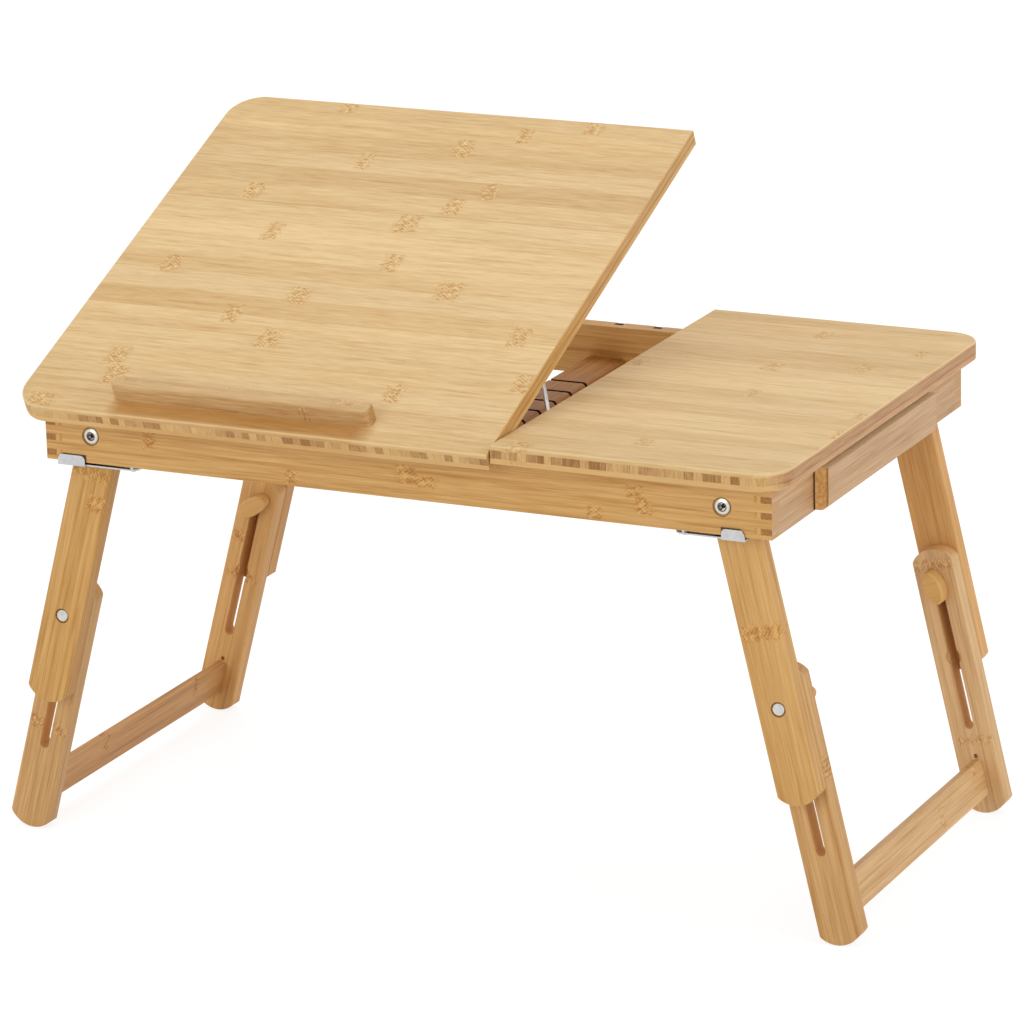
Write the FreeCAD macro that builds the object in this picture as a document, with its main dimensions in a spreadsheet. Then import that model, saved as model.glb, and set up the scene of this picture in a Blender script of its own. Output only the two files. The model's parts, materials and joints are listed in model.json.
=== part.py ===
import FreeCAD, Part
import os
import re
import Sketcher

# Laptop stand with a tilting panel, a fixed panel over a drawer, and two pairs of telescopic folding legs.
# Millimetres. X runs to the right along the front, Y towards the back, Z up.
# The origin lies on the floor, under the middle of the box frame.

doc = FreeCAD.newDocument("LaptopStand")
sheet = doc.addObject("Spreadsheet::Sheet", "Sizes")
Vec = FreeCAD.Vector

# Driving dimensions: alias, value.
SIZES = [
    ("frame_length", 519.5),
    ("frame_depth", 327.0),
    ("frame_height", 274.0),
    ("rail_height", 35.0),
    ("rail_thick", 12.0),
    ("finger_height", 4.3),
    ("finger_pitch", 10.3),
    ("finger_low", 5.0),
    ("finger_count", 3.0),
    ("notch_wide", 6.5),
    ("notch_deep", 5.0),
    ("notch_place", 9.5),
    ("notch_pitch", 29.0),
    ("left_overhang", 15.25),
    ("right_overhang", 12.25),
    ("end_overhang", 15.5),
    ("panel_thick", 12.0),
    ("panel_corner", 24.0),
    ("panel_arris", 1.8),
    ("split_place", 73.5),
    ("split_gap", 1.0),
    ("tilt_angle", 22.8),
    ("hinge_ahead", 3.0),
    ("ledge_length", 189.0),
    ("ledge_place", -109.5),
    ("ledge_setback", 14.6),
    ("ledge_deep", 11.5),
    ("ledge_high", 13.0),
    ("ledge_round", 4.0),
    ("ledge_let", 0.8),
    ("bar_wide", 27.5),
    ("bar_centre", 3.75),
    ("bar_thick", 12.0),
    ("bar_up", 0.5),
    ("bar_arris", 3.0),
    ("kerf_wide", 3.3),
    ("kerf_deep", 6.0),
    ("kerf_pitch", 24.4),
    ("kerf_last", 87.0),
    ("kerf_count", 5.0),
    ("prop_kerf", 4.0),
    ("prop_wire", 3.0),
    ("prop_reach", 165.0),
    ("prop_bend", 4.5),
    ("prop_play", 4.9),
    ("clip_wide", 9.0),
    ("clip_deep", 15.0),
    ("clip_sheet", 1.2),
    ("clip_inset", 9.0),
    ("pivot_side", 33.75),
    ("pivot_up", 18.2),
    ("lean_left", 15.5),
    ("lean_right", 13.1),
    ("leg_wide", 29.5),
    ("leg_thick", 13.0),
    ("leg_gap", 0.3),
    ("leg_arris", 1.3),
    ("end_round", 18.3),
    ("top_round", 16.8),
    ("upper_reach", 201.0),
    ("bolt_reach", 137.0),
    ("height_travel", 102.0),
    ("slot_wide", 6.9),
    ("slot_head", 21.8),
    ("seat_wide", 11.0),
    ("seat_deep", 2.0),
    ("seat_pitch", 54.3),
    ("seat_count", 2.0),
    ("stretcher_rise", 7.2),
    ("stretcher_high", 25.5),
    ("stretcher_thick", 6.5),
    ("tenon_deep", 7.0),
    ("tenon_shoulder", 3.0),
    ("tenon_cheek", 1.0),
    ("stretcher_arris", 1.0),
    ("peg_hole", 3.2),
    ("peg_rise", 22.3),
    ("pivot_bolt", 6.0),
    ("pivot_hole", 12.8),
    ("pivot_sink", 1.5),
    ("pivot_flange", 10.9),
    ("pivot_rim", 0.7),
    ("pivot_dome", 1.6),
    ("socket_flats", 4.6),
    ("socket_deep", 2.6),
    ("bush_wide", 9.0),
    ("slot_bolt", 6.0),
    ("disc_hole", 10.3),
    ("disc_wide", 8.6),
    ("disc_thick", 1.6),
    ("disc_arris", 0.4),
    ("disc_sink", 2.1),
    ("knob_long", 23.4),
    ("knob_wide", 12.8),
    ("knob_end", 4.2),
    ("knob_thick", 10.0),
    ("knob_arris", 1.6),
    ("knob_wall", 2.0),
    ("knob_turn_left", 33.0),
    ("knob_turn_right", 115.0),
    ("knob_turn_near", 12.0),
    ("nut_flats", 8.6),
    ("nut_thick", 4.0),
    ("drawer_wide", 187.5),
    ("drawer_centre", -2.7),
    ("drawer_front_thick", 10.0),
    ("drawer_front_low", 1.2),
    ("drawer_front_high", 28.0),
    ("drawer_front_round", 6.0),
    ("drawer_lap", 3.5),
    ("drawer_box_high", 21.0),
    ("drawer_box_low", 8.0),
    ("drawer_length", 176.0),
    ("drawer_side_thick", 8.0),
    ("drawer_floor_thick", 4.0),
    ("drawer_floor_up", 2.0),
    ("drawer_floor_let", 3.0),
    ("groove_end", 4.0),
    ("runner_high", 6.0),
    ("runner_deep", 3.5),
    ("runner_up", 18.0),
    ("guide_thick", 9.0),
    ("bay_clear", 6.3),
    ("bay_wall", 8.0),
    ("slide_gap", 0.5),
    ("hinge_length", 38.0),
    ("hinge_span", 180.0),
    ("hinge_centre", -100.0),
    ("hinge_leaf", 10.5),
    ("hinge_sheet", 1.0),
    ("hinge_barrel", 5.0),
    ("hinge_pin", 2.0),
    ("leaf_screw_spread", 0.3),
    ("leaf_screw_place", 0.65),
    ("clip_wall", 1.1),
    ("clip_screw_spread", 0.36),
    ("latch_screw_side", 61.75),
    ("latch_reach_left", 53.0),
    ("latch_reach_right", 43.5),
    ("latch_wide", 11.0),
    ("latch_sheet", 1.0),
    ("latch_gap", 1.6),
    ("latch_tab_left", 20.4),
    ("latch_tab_right", 15.7),
    ("latch_tab_high", 7.2),
    ("latch_tab_corner", 3.2),
    ("latch_tab_slant", 2.0),
    ("latch_tab_heel", 4.4),
    ("screw_shank", 2.6),
    ("screw_head", 5.6),
    ("screw_rim", 0.8),
    ("screw_crown", 0.9),
    ("screw_length", 9.0),
    ("washer_edge", 0.6),
    ("small_shank", 2.0),
    ("small_head", 3.8),
    ("small_length", 6.0),
    ("fit_gap", 0.05),
    ("rub_gap", 0.1),
    ("free_gap", 0.3),
]
for row, (alias, number) in enumerate(SIZES, start=1):
    sheet.set("A%d" % row, alias)
    sheet.set("B%d" % row, str(number))
    sheet.setAlias("B%d" % row, alias)
doc.recompute()
NAMES = {alias for alias, number in SIZES}

# Sizes that follow from the driving ones, by name.
DERIVED = {
    "half_length": "frame_length / 2",
    "half_depth": "frame_depth / 2",
    "inner_x": "half_length - rail_thick",
    "inner_y": "half_depth - rail_thick",
    "deck": "frame_height + rail_height",
    "pivot_x": "half_length - pivot_side",
    "pivot_z": "frame_height + pivot_up",
    "panel_back": "half_depth + end_overhang",
    "board_left": "-half_length - left_overhang",
    "board_right": "half_length + right_overhang",
    "hinge_y": "-half_depth - hinge_ahead",
    "tilt_right": "split_place - split_gap / 2",
    "fixed_left": "split_place + split_gap / 2",
    "upper_out": "inner_y - leg_gap",
    "upper_in": "upper_out - leg_thick",
    "lower_out": "upper_in - leg_gap",
    "lower_in": "lower_out - leg_thick",
    "foot_left": "(pivot_z - end_round) / cos(lean_left)",
    "foot_right": "(pivot_z - end_round) / cos(lean_right)",
    "slot_to_foot": "(pivot_z - end_round) / cos(max(lean_left; lean_right)) - bolt_reach",
    "stretcher_drop": "slot_to_foot - stretcher_rise",
    "foot_tip": "slot_to_foot + end_round",
    "kerf_y": "kerf_last - (prop_kerf - 1) * kerf_pitch",
    "kerf_floor": "frame_height + bar_up + bar_thick - kerf_deep",
    "prop_foot_z": "kerf_floor + prop_wire / 2",
    "prop_drop": "free_gap + prop_wire / 2 + clip_wall",
    "leaf_screw_side": "leaf_screw_spread * hinge_length",
    "prop_top_y": "hinge_y + prop_reach * cos(tilt_angle) + prop_drop * sin(tilt_angle)",
    "prop_top_z": "deck + prop_reach * sin(tilt_angle) - prop_drop * cos(tilt_angle)",
    "prop_lean": "atan((kerf_y - prop_top_y) / (prop_top_z - prop_foot_z))",
    "prop_long": "(prop_top_z - prop_foot_z) / cos(prop_lean)",
    "bar_left": "bar_centre - bar_wide / 2",
    "bar_right": "bar_centre + bar_wide / 2",
    "prop_left": "bar_left - prop_play - prop_wire / 2",
    "prop_right": "bar_right + prop_play + prop_wire / 2",
    "drawer_low": "drawer_centre - drawer_wide / 2",
    "drawer_high": "drawer_centre + drawer_wide / 2",
    "box_low": "drawer_low + drawer_lap",
    "box_high": "drawer_high - drawer_lap",
    "box_end": "half_length + free_gap",
    "box_start": "box_end - drawer_length",
    "box_z": "frame_height + drawer_box_low",
    "bay_place": "box_start - bay_clear - bay_wall",
    "knob_back": "lower_in - leg_gap",
    "knob_a": "knob_long / 2",
    "knob_b": "knob_wide / 2",
    "knob_rise": "((knob_a - knob_end) ^ 2 - (knob_b - knob_end) ^ 2) / (2 * (knob_b - knob_end))",
    "knob_flank": "knob_b + knob_rise",
    "knob_join_u": "knob_a - knob_end + knob_end * (knob_a - knob_end) / (knob_flank - knob_end)",
    "knob_join_v": "knob_end * knob_rise / (knob_flank - knob_end)",
    "latch_screw_x": "half_length - latch_screw_side",
    "latch_top": "frame_height - latch_gap",
}


def ex(text):
    """The expression with each name of a size replaced by its cell, and each derived name written out."""

    def swap(match):
        word = match.group(0)
        if word in DERIVED:
            return "(" + ex(DERIVED[word]) + ")"
        if word in NAMES:
            return "Sizes." + word
        return word

    return re.sub(r"[a-z][a-z_0-9]*", swap, str(text))


def num(text):
    """The value of an expression now."""
    return float(sheet.evalExpression(ex(text)))


def put(item, x="0", y="0", z="0", axis=None, angle="0"):
    """Places an object: base point and one turn about an axis, each bound to its expression."""
    turn = FreeCAD.Rotation()
    if axis is not None:
        turn = FreeCAD.Rotation(Vec(*axis), 10)
    item.Placement = FreeCAD.Placement(Vec(1, 1, 1), turn)
    item.setExpression("Placement.Base.x", ex(x))
    item.setExpression("Placement.Base.y", ex(y))
    item.setExpression("Placement.Base.z", ex(z))
    if axis is not None:
        item.setExpression("Placement.Rotation.Angle", ex(angle))
    return item


# ---- solids made from primitives -------------------------------------------------------------------------


def block(name, x, y, z, long, deep, high):
    """Box with its low corner at x, y, z."""
    item = doc.addObject("Part::Box", name)
    item.setExpression("Length", ex(long))
    item.setExpression("Width", ex(deep))
    item.setExpression("Height", ex(high))
    return put(item, x, y, z)


AXES = {"x": ((0, 1, 0), "90"), "y": ((-1, 0, 0), "90"), "z": (None, "0"), "-z": ((1, 0, 0), "180"),
        "-y": ((1, 0, 0), "90"), "-x": ((0, -1, 0), "90")}


def rod(name, x, y, z, radius, long, along="z"):
    """Cylinder whose first face is centred at x, y, z."""
    item = doc.addObject("Part::Cylinder", name)
    item.setExpression("Radius", ex(radius))
    item.setExpression("Height", ex(long))
    axis, angle = AXES[along]
    return put(item, x, y, z, axis, angle)


def cone(name, x, y, z, first, second, long, along="z"):
    """Cone from its first radius at x, y, z to its second."""
    item = doc.addObject("Part::Cone", name)
    item.setExpression("Radius1", ex(first))
    item.setExpression("Radius2", ex(second))
    item.setExpression("Height", ex(long))
    axis, angle = AXES[along]
    return put(item, x, y, z, axis, angle)


def fuse(name, items):
    item = doc.addObject("Part::MultiFuse", name)
    item.Shapes = items
    return item


def cut(name, base, tool):
    item = doc.addObject("Part::Cut", name)
    item.Base = base
    item.Tool = tool
    return item


def group(name, items):
    """Several equal pieces in one node, each its own solid."""
    item = doc.addObject("Part::Compound", name)
    item.Links = items
    return item


def mirror(name, source, normal, base=(0, 0, 0)):
    item = doc.addObject("Part::Mirroring", name)
    item.Source = source
    item.Normal = Vec(*normal)
    item.Base = Vec(*base)
    return item


# ---- sketches and bodies ---------------------------------------------------------------------------------


def body(name):
    return doc.addObject("PartDesign::Body", name)


def sketch(owner, name, role, lift=None):
    """Sketch on one of the body's own planes, lifted along that plane's normal."""
    item = owner.newObject("Sketcher::SketchObject", name)
    plane = [one for one in owner.Origin.OriginFeatures if one.Role == role][0]
    item.AttachmentSupport = [(plane, "")]
    item.MapMode = "FlatFace"
    if lift is not None:
        item.AttachmentOffset = FreeCAD.Placement(Vec(0, 0, 1), FreeCAD.Rotation())
        item.setExpression("AttachmentOffset.Base.z", ex(lift))
    return item


def tie(item, kind, index, end, text):
    """Distance of a point from the sketch's origin, bound to an expression."""
    where = item.addConstraint(Sketcher.Constraint(kind, -1, 1, index, end, num(text)))
    name = "d%d" % where
    item.renameConstraint(where, name)
    item.setExpression("Constraints." + name, ex(text))


def arc_through(start, middle, stop):
    """Arc that runs anticlockwise, as sketches need, whichever end comes first."""
    if (middle - start).cross(stop - middle).z < 0:
        return Part.Arc(stop, middle, start)
    return Part.Arc(start, middle, stop)


def outline(item, points):
    """Closed outline through points (u, v); an arc starts at (u, v, middle u, middle v, radius).

    A half circle has its centre's place along one axis in the radius's stead, and names that axis.
    """
    spots = [(num(one[0]), num(one[1])) for one in points]
    edges = []
    for index, one in enumerate(points):
        start = Vec(spots[index][0], spots[index][1], 0)
        after = spots[(index + 1) % len(points)]
        stop = Vec(after[0], after[1], 0)
        if len(one) == 2:
            edges.append(item.addGeometry(Part.LineSegment(start, stop), False))
        else:
            bend = arc_through(start, Vec(num(one[2]), num(one[3]), 0), stop)
            edges.append(item.addGeometry(bend, False))
    count = len(points)
    ends = []
    for index in range(count):
        curve = item.Geometry[edges[index]]
        start = Vec(spots[index][0], spots[index][1], 0)
        first = 1
        if (curve.StartPoint - start).Length > (curve.EndPoint - start).Length:
            first = 2
        ends.append((first, 3 - first))
    for index in range(count):
        after = (index + 1) % count
        item.addConstraint(Sketcher.Constraint("Coincident", edges[index], ends[index][1],
                                               edges[after], ends[after][0]))
    for index, one in enumerate(points):
        tie(item, "DistanceX", edges[index], ends[index][0], one[0])
        tie(item, "DistanceY", edges[index], ends[index][0], one[1])
        if len(one) == 5:
            where = item.addConstraint(Sketcher.Constraint("Radius", edges[index], num(one[4])))
            item.renameConstraint(where, "r%d" % where)
            item.setExpression("Constraints.r%d" % where, ex(one[4]))
        elif len(one) == 6:
            tie(item, one[5], edges[index], 3, one[4])


def rect(item, left, right, low, high):
    outline(item, [(left, low), (right, low), (right, high), (left, high)])


def circle(item, u, v, radius):
    index = item.addGeometry(Part.Circle(Vec(num(u), num(v), 0), Vec(0, 0, 1), num(radius)), False)
    tie(item, "DistanceX", index, 3, u)
    tie(item, "DistanceY", index, 3, v)
    where = item.addConstraint(Sketcher.Constraint("Radius", index, num(radius)))
    item.renameConstraint(where, "r%d" % where)
    item.setExpression("Constraints.r%d" % where, ex(radius))


def pad(owner, profile, length, backwards=False, both=False):
    item = owner.newObject("PartDesign::Pad", profile.Name + "_pad")
    item.Profile = profile
    item.setExpression("Length", ex(length))
    item.Reversed = backwards
    item.Midplane = both
    return item


def pocket(owner, profile, length=None, backwards=False, both=False):
    """Cut of a given depth, or right through."""
    item = owner.newObject("PartDesign::Pocket", profile.Name + "_cut")
    item.Profile = profile
    if length is None:
        item.Type = "ThroughAll"
        item.Midplane = True
    else:
        item.setExpression("Length", ex(length))
        item.Reversed = backwards
        item.Midplane = both
    return item


def repeat(owner, feature, profile, axis, length, count, backwards=False):
    item = owner.newObject("PartDesign::LinearPattern", feature.Name + "_row")
    item.Originals = [feature]
    item.Direction = (profile, [axis])
    item.setExpression("Length", ex(length))
    item.setExpression("Occurrences", ex(count))
    item.Reversed = backwards
    owner.Tip = item
    return item


def edges_where(shape, test):
    names = []
    for index, edge in enumerate(shape.Edges, start=1):
        if test(edge):
            names.append("Edge%d" % index)
    return names


def round_off(owner, feature, radius, test):
    """Fillet on the edges of the last feature that the test picks."""
    doc.recompute()
    item = owner.newObject("PartDesign::Fillet", feature.Name + "_round")
    item.Base = (feature, edges_where(feature.Shape, test))
    item.setExpression("Radius", ex(radius))
    owner.Tip = item
    return item


def flat_at(edge, axis, value, slack=1e-4):
    """True if the whole edge lies at one value of an axis."""
    low = [edge.BoundBox.XMin, edge.BoundBox.YMin, edge.BoundBox.ZMin][axis]
    high = [edge.BoundBox.XMax, edge.BoundBox.YMax, edge.BoundBox.ZMax][axis]
    return abs(low - value) < slack and abs(high - value) < slack


# ---- box frame -------------------------------------------------------------------------------------------
# The side rails' fingers pass right through the front and back rails, so their end grain shows there.


def long_rail(name, side):
    """Front (side -1) or back (side +1) rail; in its own frame y runs inwards from its outer face."""
    owner = body(name)
    face = sketch(owner, name + "_face", "XZ_Plane")
    rect(face, "-half_length", "half_length", "0", "rail_height")
    pad(owner, face, "rail_thick", backwards=side < 0)
    slots = sketch(owner, name + "_fingers", "XZ_Plane")
    low = "finger_low - finger_height / 2"
    high = "finger_low + finger_height / 2"
    rect(slots, "inner_x", "half_length + 1", low, high)
    rect(slots, "-half_length - 1", "-inner_x", low, high)
    first = pocket(owner, slots)
    repeat(owner, first, slots, "V_Axis", "finger_pitch * (finger_count - 1)", "finger_count")
    holes = sketch(owner, name + "_bolt_holes", "XZ_Plane")
    circle(holes, "pivot_x", "pivot_up", "pivot_bolt / 2 + fit_gap")
    circle(holes, "-pivot_x", "pivot_up", "pivot_bolt / 2 + fit_gap")
    pocket(owner, holes)
    sinks = sketch(owner, name + "_bolt_sinks", "XZ_Plane")
    circle(sinks, "pivot_x", "pivot_up", "pivot_hole / 2")
    circle(sinks, "-pivot_x", "pivot_up", "pivot_hole / 2")
    pocket(owner, sinks, "pivot_sink", backwards=side > 0)
    put(owner, "0", "%d * half_depth" % side, "frame_height")
    return owner


front_rail = long_rail("front_rail", -1)
seats = sketch(front_rail, "front_rail_hinge_seats", "XY_Plane", "rail_height")
for mark in ("-1", "1"):
    middle = "hinge_centre + (" + mark + ") * hinge_span / 2"
    rect(seats, middle + " - hinge_length / 2 - free_gap", middle + " + hinge_length / 2 + free_gap",
         "-1", "hinge_leaf - hinge_ahead")
pocket(front_rail, seats, "hinge_sheet + rub_gap")
pilot = sketch(front_rail, "front_rail_pilots", "XY_Plane")
circle(pilot, "latch_screw_x", "rail_thick / 2", "screw_shank / 2 + fit_gap")
circle(pilot, "-latch_screw_x", "rail_thick / 2", "screw_shank / 2 + fit_gap")
pocket(front_rail, pilot, "screw_length + 1", backwards=True)
leaf_pilot = sketch(front_rail, "front_rail_leaf_pilots", "XY_Plane", "rail_height")
for mark in ("-1", "1"):
    for half in ("-1", "1"):
        middle = "hinge_centre + " + mark + " * hinge_span / 2 + " + half + " * leaf_screw_side"
        circle(leaf_pilot, middle, "hinge_leaf * leaf_screw_place - hinge_ahead",
               "small_shank / 2 + fit_gap")
pocket(front_rail, leaf_pilot, "small_length + 2")

back_rail = long_rail("back_rail", 1)
nicks = sketch(back_rail, "back_rail_nicks", "XZ_Plane")
rect(nicks, "notch_place - notch_wide / 2", "notch_place + notch_wide / 2",
     "rail_height - notch_deep", "rail_height + 1")
rect(nicks, "notch_place + notch_pitch - notch_wide / 2", "notch_place + notch_pitch + notch_wide / 2",
     "rail_height - notch_deep", "rail_height + 1")
nick_cut = pocket(back_rail, nicks, "rail_thick", both=True)


def side_rail(name, side):
    """Left (side -1) or right (side +1) rail: a plank between the long rails, three fingers at each end."""
    owner = body(name)
    plank = sketch(owner, name + "_plank", "YZ_Plane")
    rect(plank, "-inner_y", "inner_y", "0", "rail_height")
    pad(owner, plank, "rail_thick", backwards=side > 0)
    finger = sketch(owner, name + "_finger", "YZ_Plane")
    rect(finger, "-half_depth", "half_depth", "finger_low - finger_height / 2",
         "finger_low + finger_height / 2")
    first = pad(owner, finger, "rail_thick", backwards=side > 0)
    repeat(owner, first, finger, "V_Axis", "finger_pitch * (finger_count - 1)", "finger_count")
    put(owner, "%d * half_length" % side, "0", "frame_height")
    return owner


left_rail = side_rail("left_rail", -1)
right_rail = side_rail("right_rail", 1)
# The drawer passes through an opening that the fixed panel closes at the top.
mouth = sketch(right_rail, "right_rail_mouth", "YZ_Plane")
rect(mouth, "box_low - slide_gap", "box_high + slide_gap", "drawer_box_low - slide_gap", "rail_height + 1")
pocket(right_rail, mouth)

# Brace from the front rail to the back rail, with a row of kerfs across its top for the wire prop.
bar = body("notched_bar")
bar_end = sketch(bar, "notched_bar_end", "XZ_Plane")
rect(bar_end, "bar_left", "bar_right", "0", "bar_thick")
bar_pad = pad(bar, bar_end, "2 * inner_y", both=True)
right_arris = num("bar_right")
bar_top = num("bar_thick")
round_off(bar, bar_pad, "bar_arris",
          lambda edge: flat_at(edge, 0, right_arris) and flat_at(edge, 2, bar_top))
kerf = sketch(bar, "notched_bar_kerf", "YZ_Plane")
rect(kerf, "kerf_last - kerf_wide / 2", "kerf_last + kerf_wide / 2",
     "bar_thick - kerf_deep", "bar_thick + 1")
kerf_cut = pocket(bar, kerf)
repeat(bar, kerf_cut, kerf, "H_Axis", "kerf_pitch * (kerf_count - 1)", "kerf_count", backwards=True)
put(bar, "0", "0", "frame_height + bar_up")

# ---- panels ----------------------------------------------------------------------------------------------


def panel(name, left, right, low, high, outer):
    """Three-ply board; its two outer corners are rounded in plan and its top edge has a soft arris."""
    owner = body(name)
    plan = sketch(owner, name + "_plan", "XY_Plane")
    rect(plan, left, right, low, high)
    slab = pad(owner, plan, "panel_thick")
    far = num(right) if outer > 0 else num(left)
    near = num(left) if outer > 0 else num(right)
    corners = round_off(owner, slab, "panel_corner",
                        lambda edge: flat_at(edge, 0, far) and flat_at(edge, 1, edge.BoundBox.YMin))
    top = num("panel_thick")
    round_off(owner, corners, "panel_arris",
              lambda edge: flat_at(edge, 2, top) and not flat_at(edge, 0, near))
    return owner


fixed_top = panel("fixed_top", "fixed_left", "board_right", "-panel_back", "panel_back", 1)
put(fixed_top, "0", "0", "deck")

# The tilting panel's own frame lies on the hinge axis; it is turned up about that axis.
tilt_top = panel("tilt_top", "board_left", "tilt_right",
                 "-panel_back - hinge_y", "panel_back - hinge_y", -1)
leaf_seats = sketch(tilt_top, "tilt_top_hinge_seats", "XY_Plane")
for mark in ("-1", "1"):
    middle = "hinge_centre + (" + mark + ") * hinge_span / 2"
    rect(leaf_seats, middle + " - hinge_length / 2 - free_gap", middle + " + hinge_length / 2 + free_gap",
         "-hinge_barrel / 2 - 2 * free_gap", "hinge_leaf")
pocket(tilt_top, leaf_seats, "hinge_sheet + rub_gap", backwards=True)
for mark in ("-1", "1"):
    middle = "hinge_centre + (" + mark + ") * hinge_span / 2"
    seat_name = "tilt_top_barrel_seat_" + ("left" if mark == "-1" else "right")
    seat = sketch(tilt_top, seat_name, "YZ_Plane", middle)
    circle(seat, "0", "0", "hinge_barrel / 2 + 2 * free_gap")
    pocket(tilt_top, seat, "hinge_length + 2 * free_gap", both=True)
tilt_pilot = sketch(tilt_top, "tilt_top_leaf_pilots", "XY_Plane")
for mark in ("-1", "1"):
    for half in ("-1", "1"):
        middle = "hinge_centre + " + mark + " * hinge_span / 2 + " + half + " * leaf_screw_side"
        circle(tilt_pilot, middle, "hinge_leaf * leaf_screw_place", "small_shank / 2 + fit_gap")
for mark in ("prop_left + clip_inset", "prop_right - clip_inset"):
    for half in ("-1", "1"):
        circle(tilt_pilot, mark, "prop_reach + " + half + " * clip_screw_spread * clip_deep",
               "small_shank / 2 + fit_gap")
pocket(tilt_top, tilt_pilot, "small_length + 2", backwards=True)
# Shallow housing that the ledge is glued into.
ledge_front = "ledge_setback - panel_back - hinge_y"
housing = sketch(tilt_top, "tilt_top_housing", "XY_Plane", "panel_thick")
house_left = "ledge_place - ledge_length / 2 - fit_gap"
house_right = "ledge_place + ledge_length / 2 + fit_gap"
house_low = ledge_front + " - fit_gap"
house_high = ledge_front + " + ledge_deep + fit_gap"
turn = "(ledge_round + fit_gap)"
bulge = turn + " * 0.29289322"
outline(housing, [
    (house_left + " + " + turn, house_low),
    (house_right + " - " + turn, house_low, house_right + " - " + bulge, house_low + " + " + bulge, turn),
    (house_right, house_low + " + " + turn),
    (house_right, house_high + " - " + turn, house_right + " - " + bulge, house_high + " - " + bulge, turn),
    (house_right + " - " + turn, house_high),
    (house_left + " + " + turn, house_high, house_left + " + " + bulge, house_high + " - " + bulge, turn),
    (house_left, house_high + " - " + turn),
    (house_left, house_low + " + " + turn, house_left + " + " + bulge, house_low + " + " + bulge, turn),
])
pocket(tilt_top, housing, "ledge_let")
TILTED = ("0", "hinge_y", "deck", (1, 0, 0), "tilt_angle")
put(tilt_top, *TILTED)

# Stop strip for a laptop's front edge, let into the tilting panel.
ledge = body("ledge")
ledge_plan = sketch(ledge, "ledge_plan", "XY_Plane", "panel_thick - ledge_let")
rect(ledge_plan, "ledge_place - ledge_length / 2", "ledge_place + ledge_length / 2",
     ledge_front, ledge_front + " + ledge_deep")
ledge_pad = pad(ledge, ledge_plan, "ledge_high + ledge_let")
ledge_nose = round_off(ledge, ledge_pad, "ledge_round",
                       lambda edge: flat_at(edge, 0, edge.BoundBox.XMin)
                       and flat_at(edge, 1, edge.BoundBox.YMin))
ledge_top = num("panel_thick + ledge_high")
round_off(ledge, ledge_nose, "ledge_round * 0.8", lambda edge: flat_at(edge, 2, ledge_top))
put(ledge, *TILTED)

# ---- hinges ----------------------------------------------------------------------------------------------
# Each butt hinge has a middle knuckle on the rail's leaf and two outer knuckles on the panel's leaf.


def leaf(name, middle, side):
    """Leaf with its knuckles; side -1 is the rail's leaf under the axis, +1 the panel's above it."""
    start = middle + " - hinge_length / 2"
    first = middle + " - hinge_length / 6"
    last = middle + " + hinge_length / 6"
    third = "hinge_length / 3"
    low = "fit_gap" if side > 0 else "-hinge_sheet - fit_gap"
    plate = block(name + "_plate", start, "0", low, "hinge_length", "hinge_leaf", "hinge_sheet")
    if side < 0:
        knuckles = [rod(name + "_knuckle", first + " + rub_gap", "0", "0", "hinge_barrel / 2",
                        third + " - 2 * rub_gap", "x")]
        spans = [(start + " - 1", third + " + 1 + rub_gap"),
                 (last + " - rub_gap", third + " + 1 + rub_gap")]
        bore = "hinge_pin / 2"
        wide = ("small_shank / 2 + fit_gap", "small_head / 2 + fit_gap")
    else:
        knuckles = [rod(name + "_knuckle_a", start, "0", "0", "hinge_barrel / 2", third + " - rub_gap", "x"),
                    rod(name + "_knuckle_b", last + " + rub_gap", "0", "0", "hinge_barrel / 2",
                        third + " - rub_gap", "x")]
        spans = [(first + " - rub_gap", third + " + 2 * rub_gap")]
        bore = "hinge_pin / 2 + fit_gap"
        wide = ("small_head / 2 + fit_gap", "small_shank / 2 + fit_gap")
    # The plate is cleared where the other leaf's knuckles turn.
    clear = [block(name + "_clear%d" % index, place, "-hinge_barrel", "-hinge_barrel", long,
                   "hinge_barrel * 1.5 + free_gap", "2 * hinge_barrel")
             for index, (place, long) in enumerate(spans)]
    trimmed = cut(name + "_trim", plate, fuse(name + "_clear", clear) if len(clear) > 1 else clear[0])
    solid = fuse(name + "_solid", [trimmed] + knuckles)
    holes = [rod(name + "_bore", start + " - 1", "0", "0", bore, "hinge_length + 2", "x")]
    for index, half in enumerate(("-1", "1")):
        spot = middle + " + " + half + " * leaf_screw_side"
        holes.append(cone(name + "_sink%d" % index, spot, "hinge_leaf * leaf_screw_place", low,
                          wide[0], wide[1], "hinge_sheet"))
    return cut(name, solid, fuse(name + "_holes", holes))


HINGES = ["hinge_centre - hinge_span / 2", "hinge_centre + hinge_span / 2"]
lower_leaves = group("hinge_leaves_lower", [leaf("lower_leaf_a", HINGES[0], -1),
                                            leaf("lower_leaf_b", HINGES[1], -1)])
put(lower_leaves, "0", "hinge_y", "deck")
upper_leaves = group("hinge_leaves_upper", [leaf("upper_leaf_a", HINGES[0], 1),
                                            leaf("upper_leaf_b", HINGES[1], 1)])
put(upper_leaves, *TILTED)
pins = group("hinge_pins", [rod("hinge_pin_a", HINGES[0] + " - hinge_length / 2", "hinge_y", "deck",
                                "hinge_pin / 2", "hinge_length", "x"),
                            rod("hinge_pin_b", HINGES[1] + " - hinge_length / 2", "hinge_y", "deck",
                                "hinge_pin / 2", "hinge_length", "x")])


def sunk_screw(name, x, y, z, up):
    """Countersunk screw with its head's flat at z, pointing up (+1) or down (-1)."""
    along = "z" if up > 0 else "-z"
    return fuse(name, [cone(name + "_head", x, y, z, "small_head / 2", "small_shank / 2", "hinge_sheet",
                            along),
                       rod(name + "_shank", x, y, z, "small_shank / 2", "small_length", along)])


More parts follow.
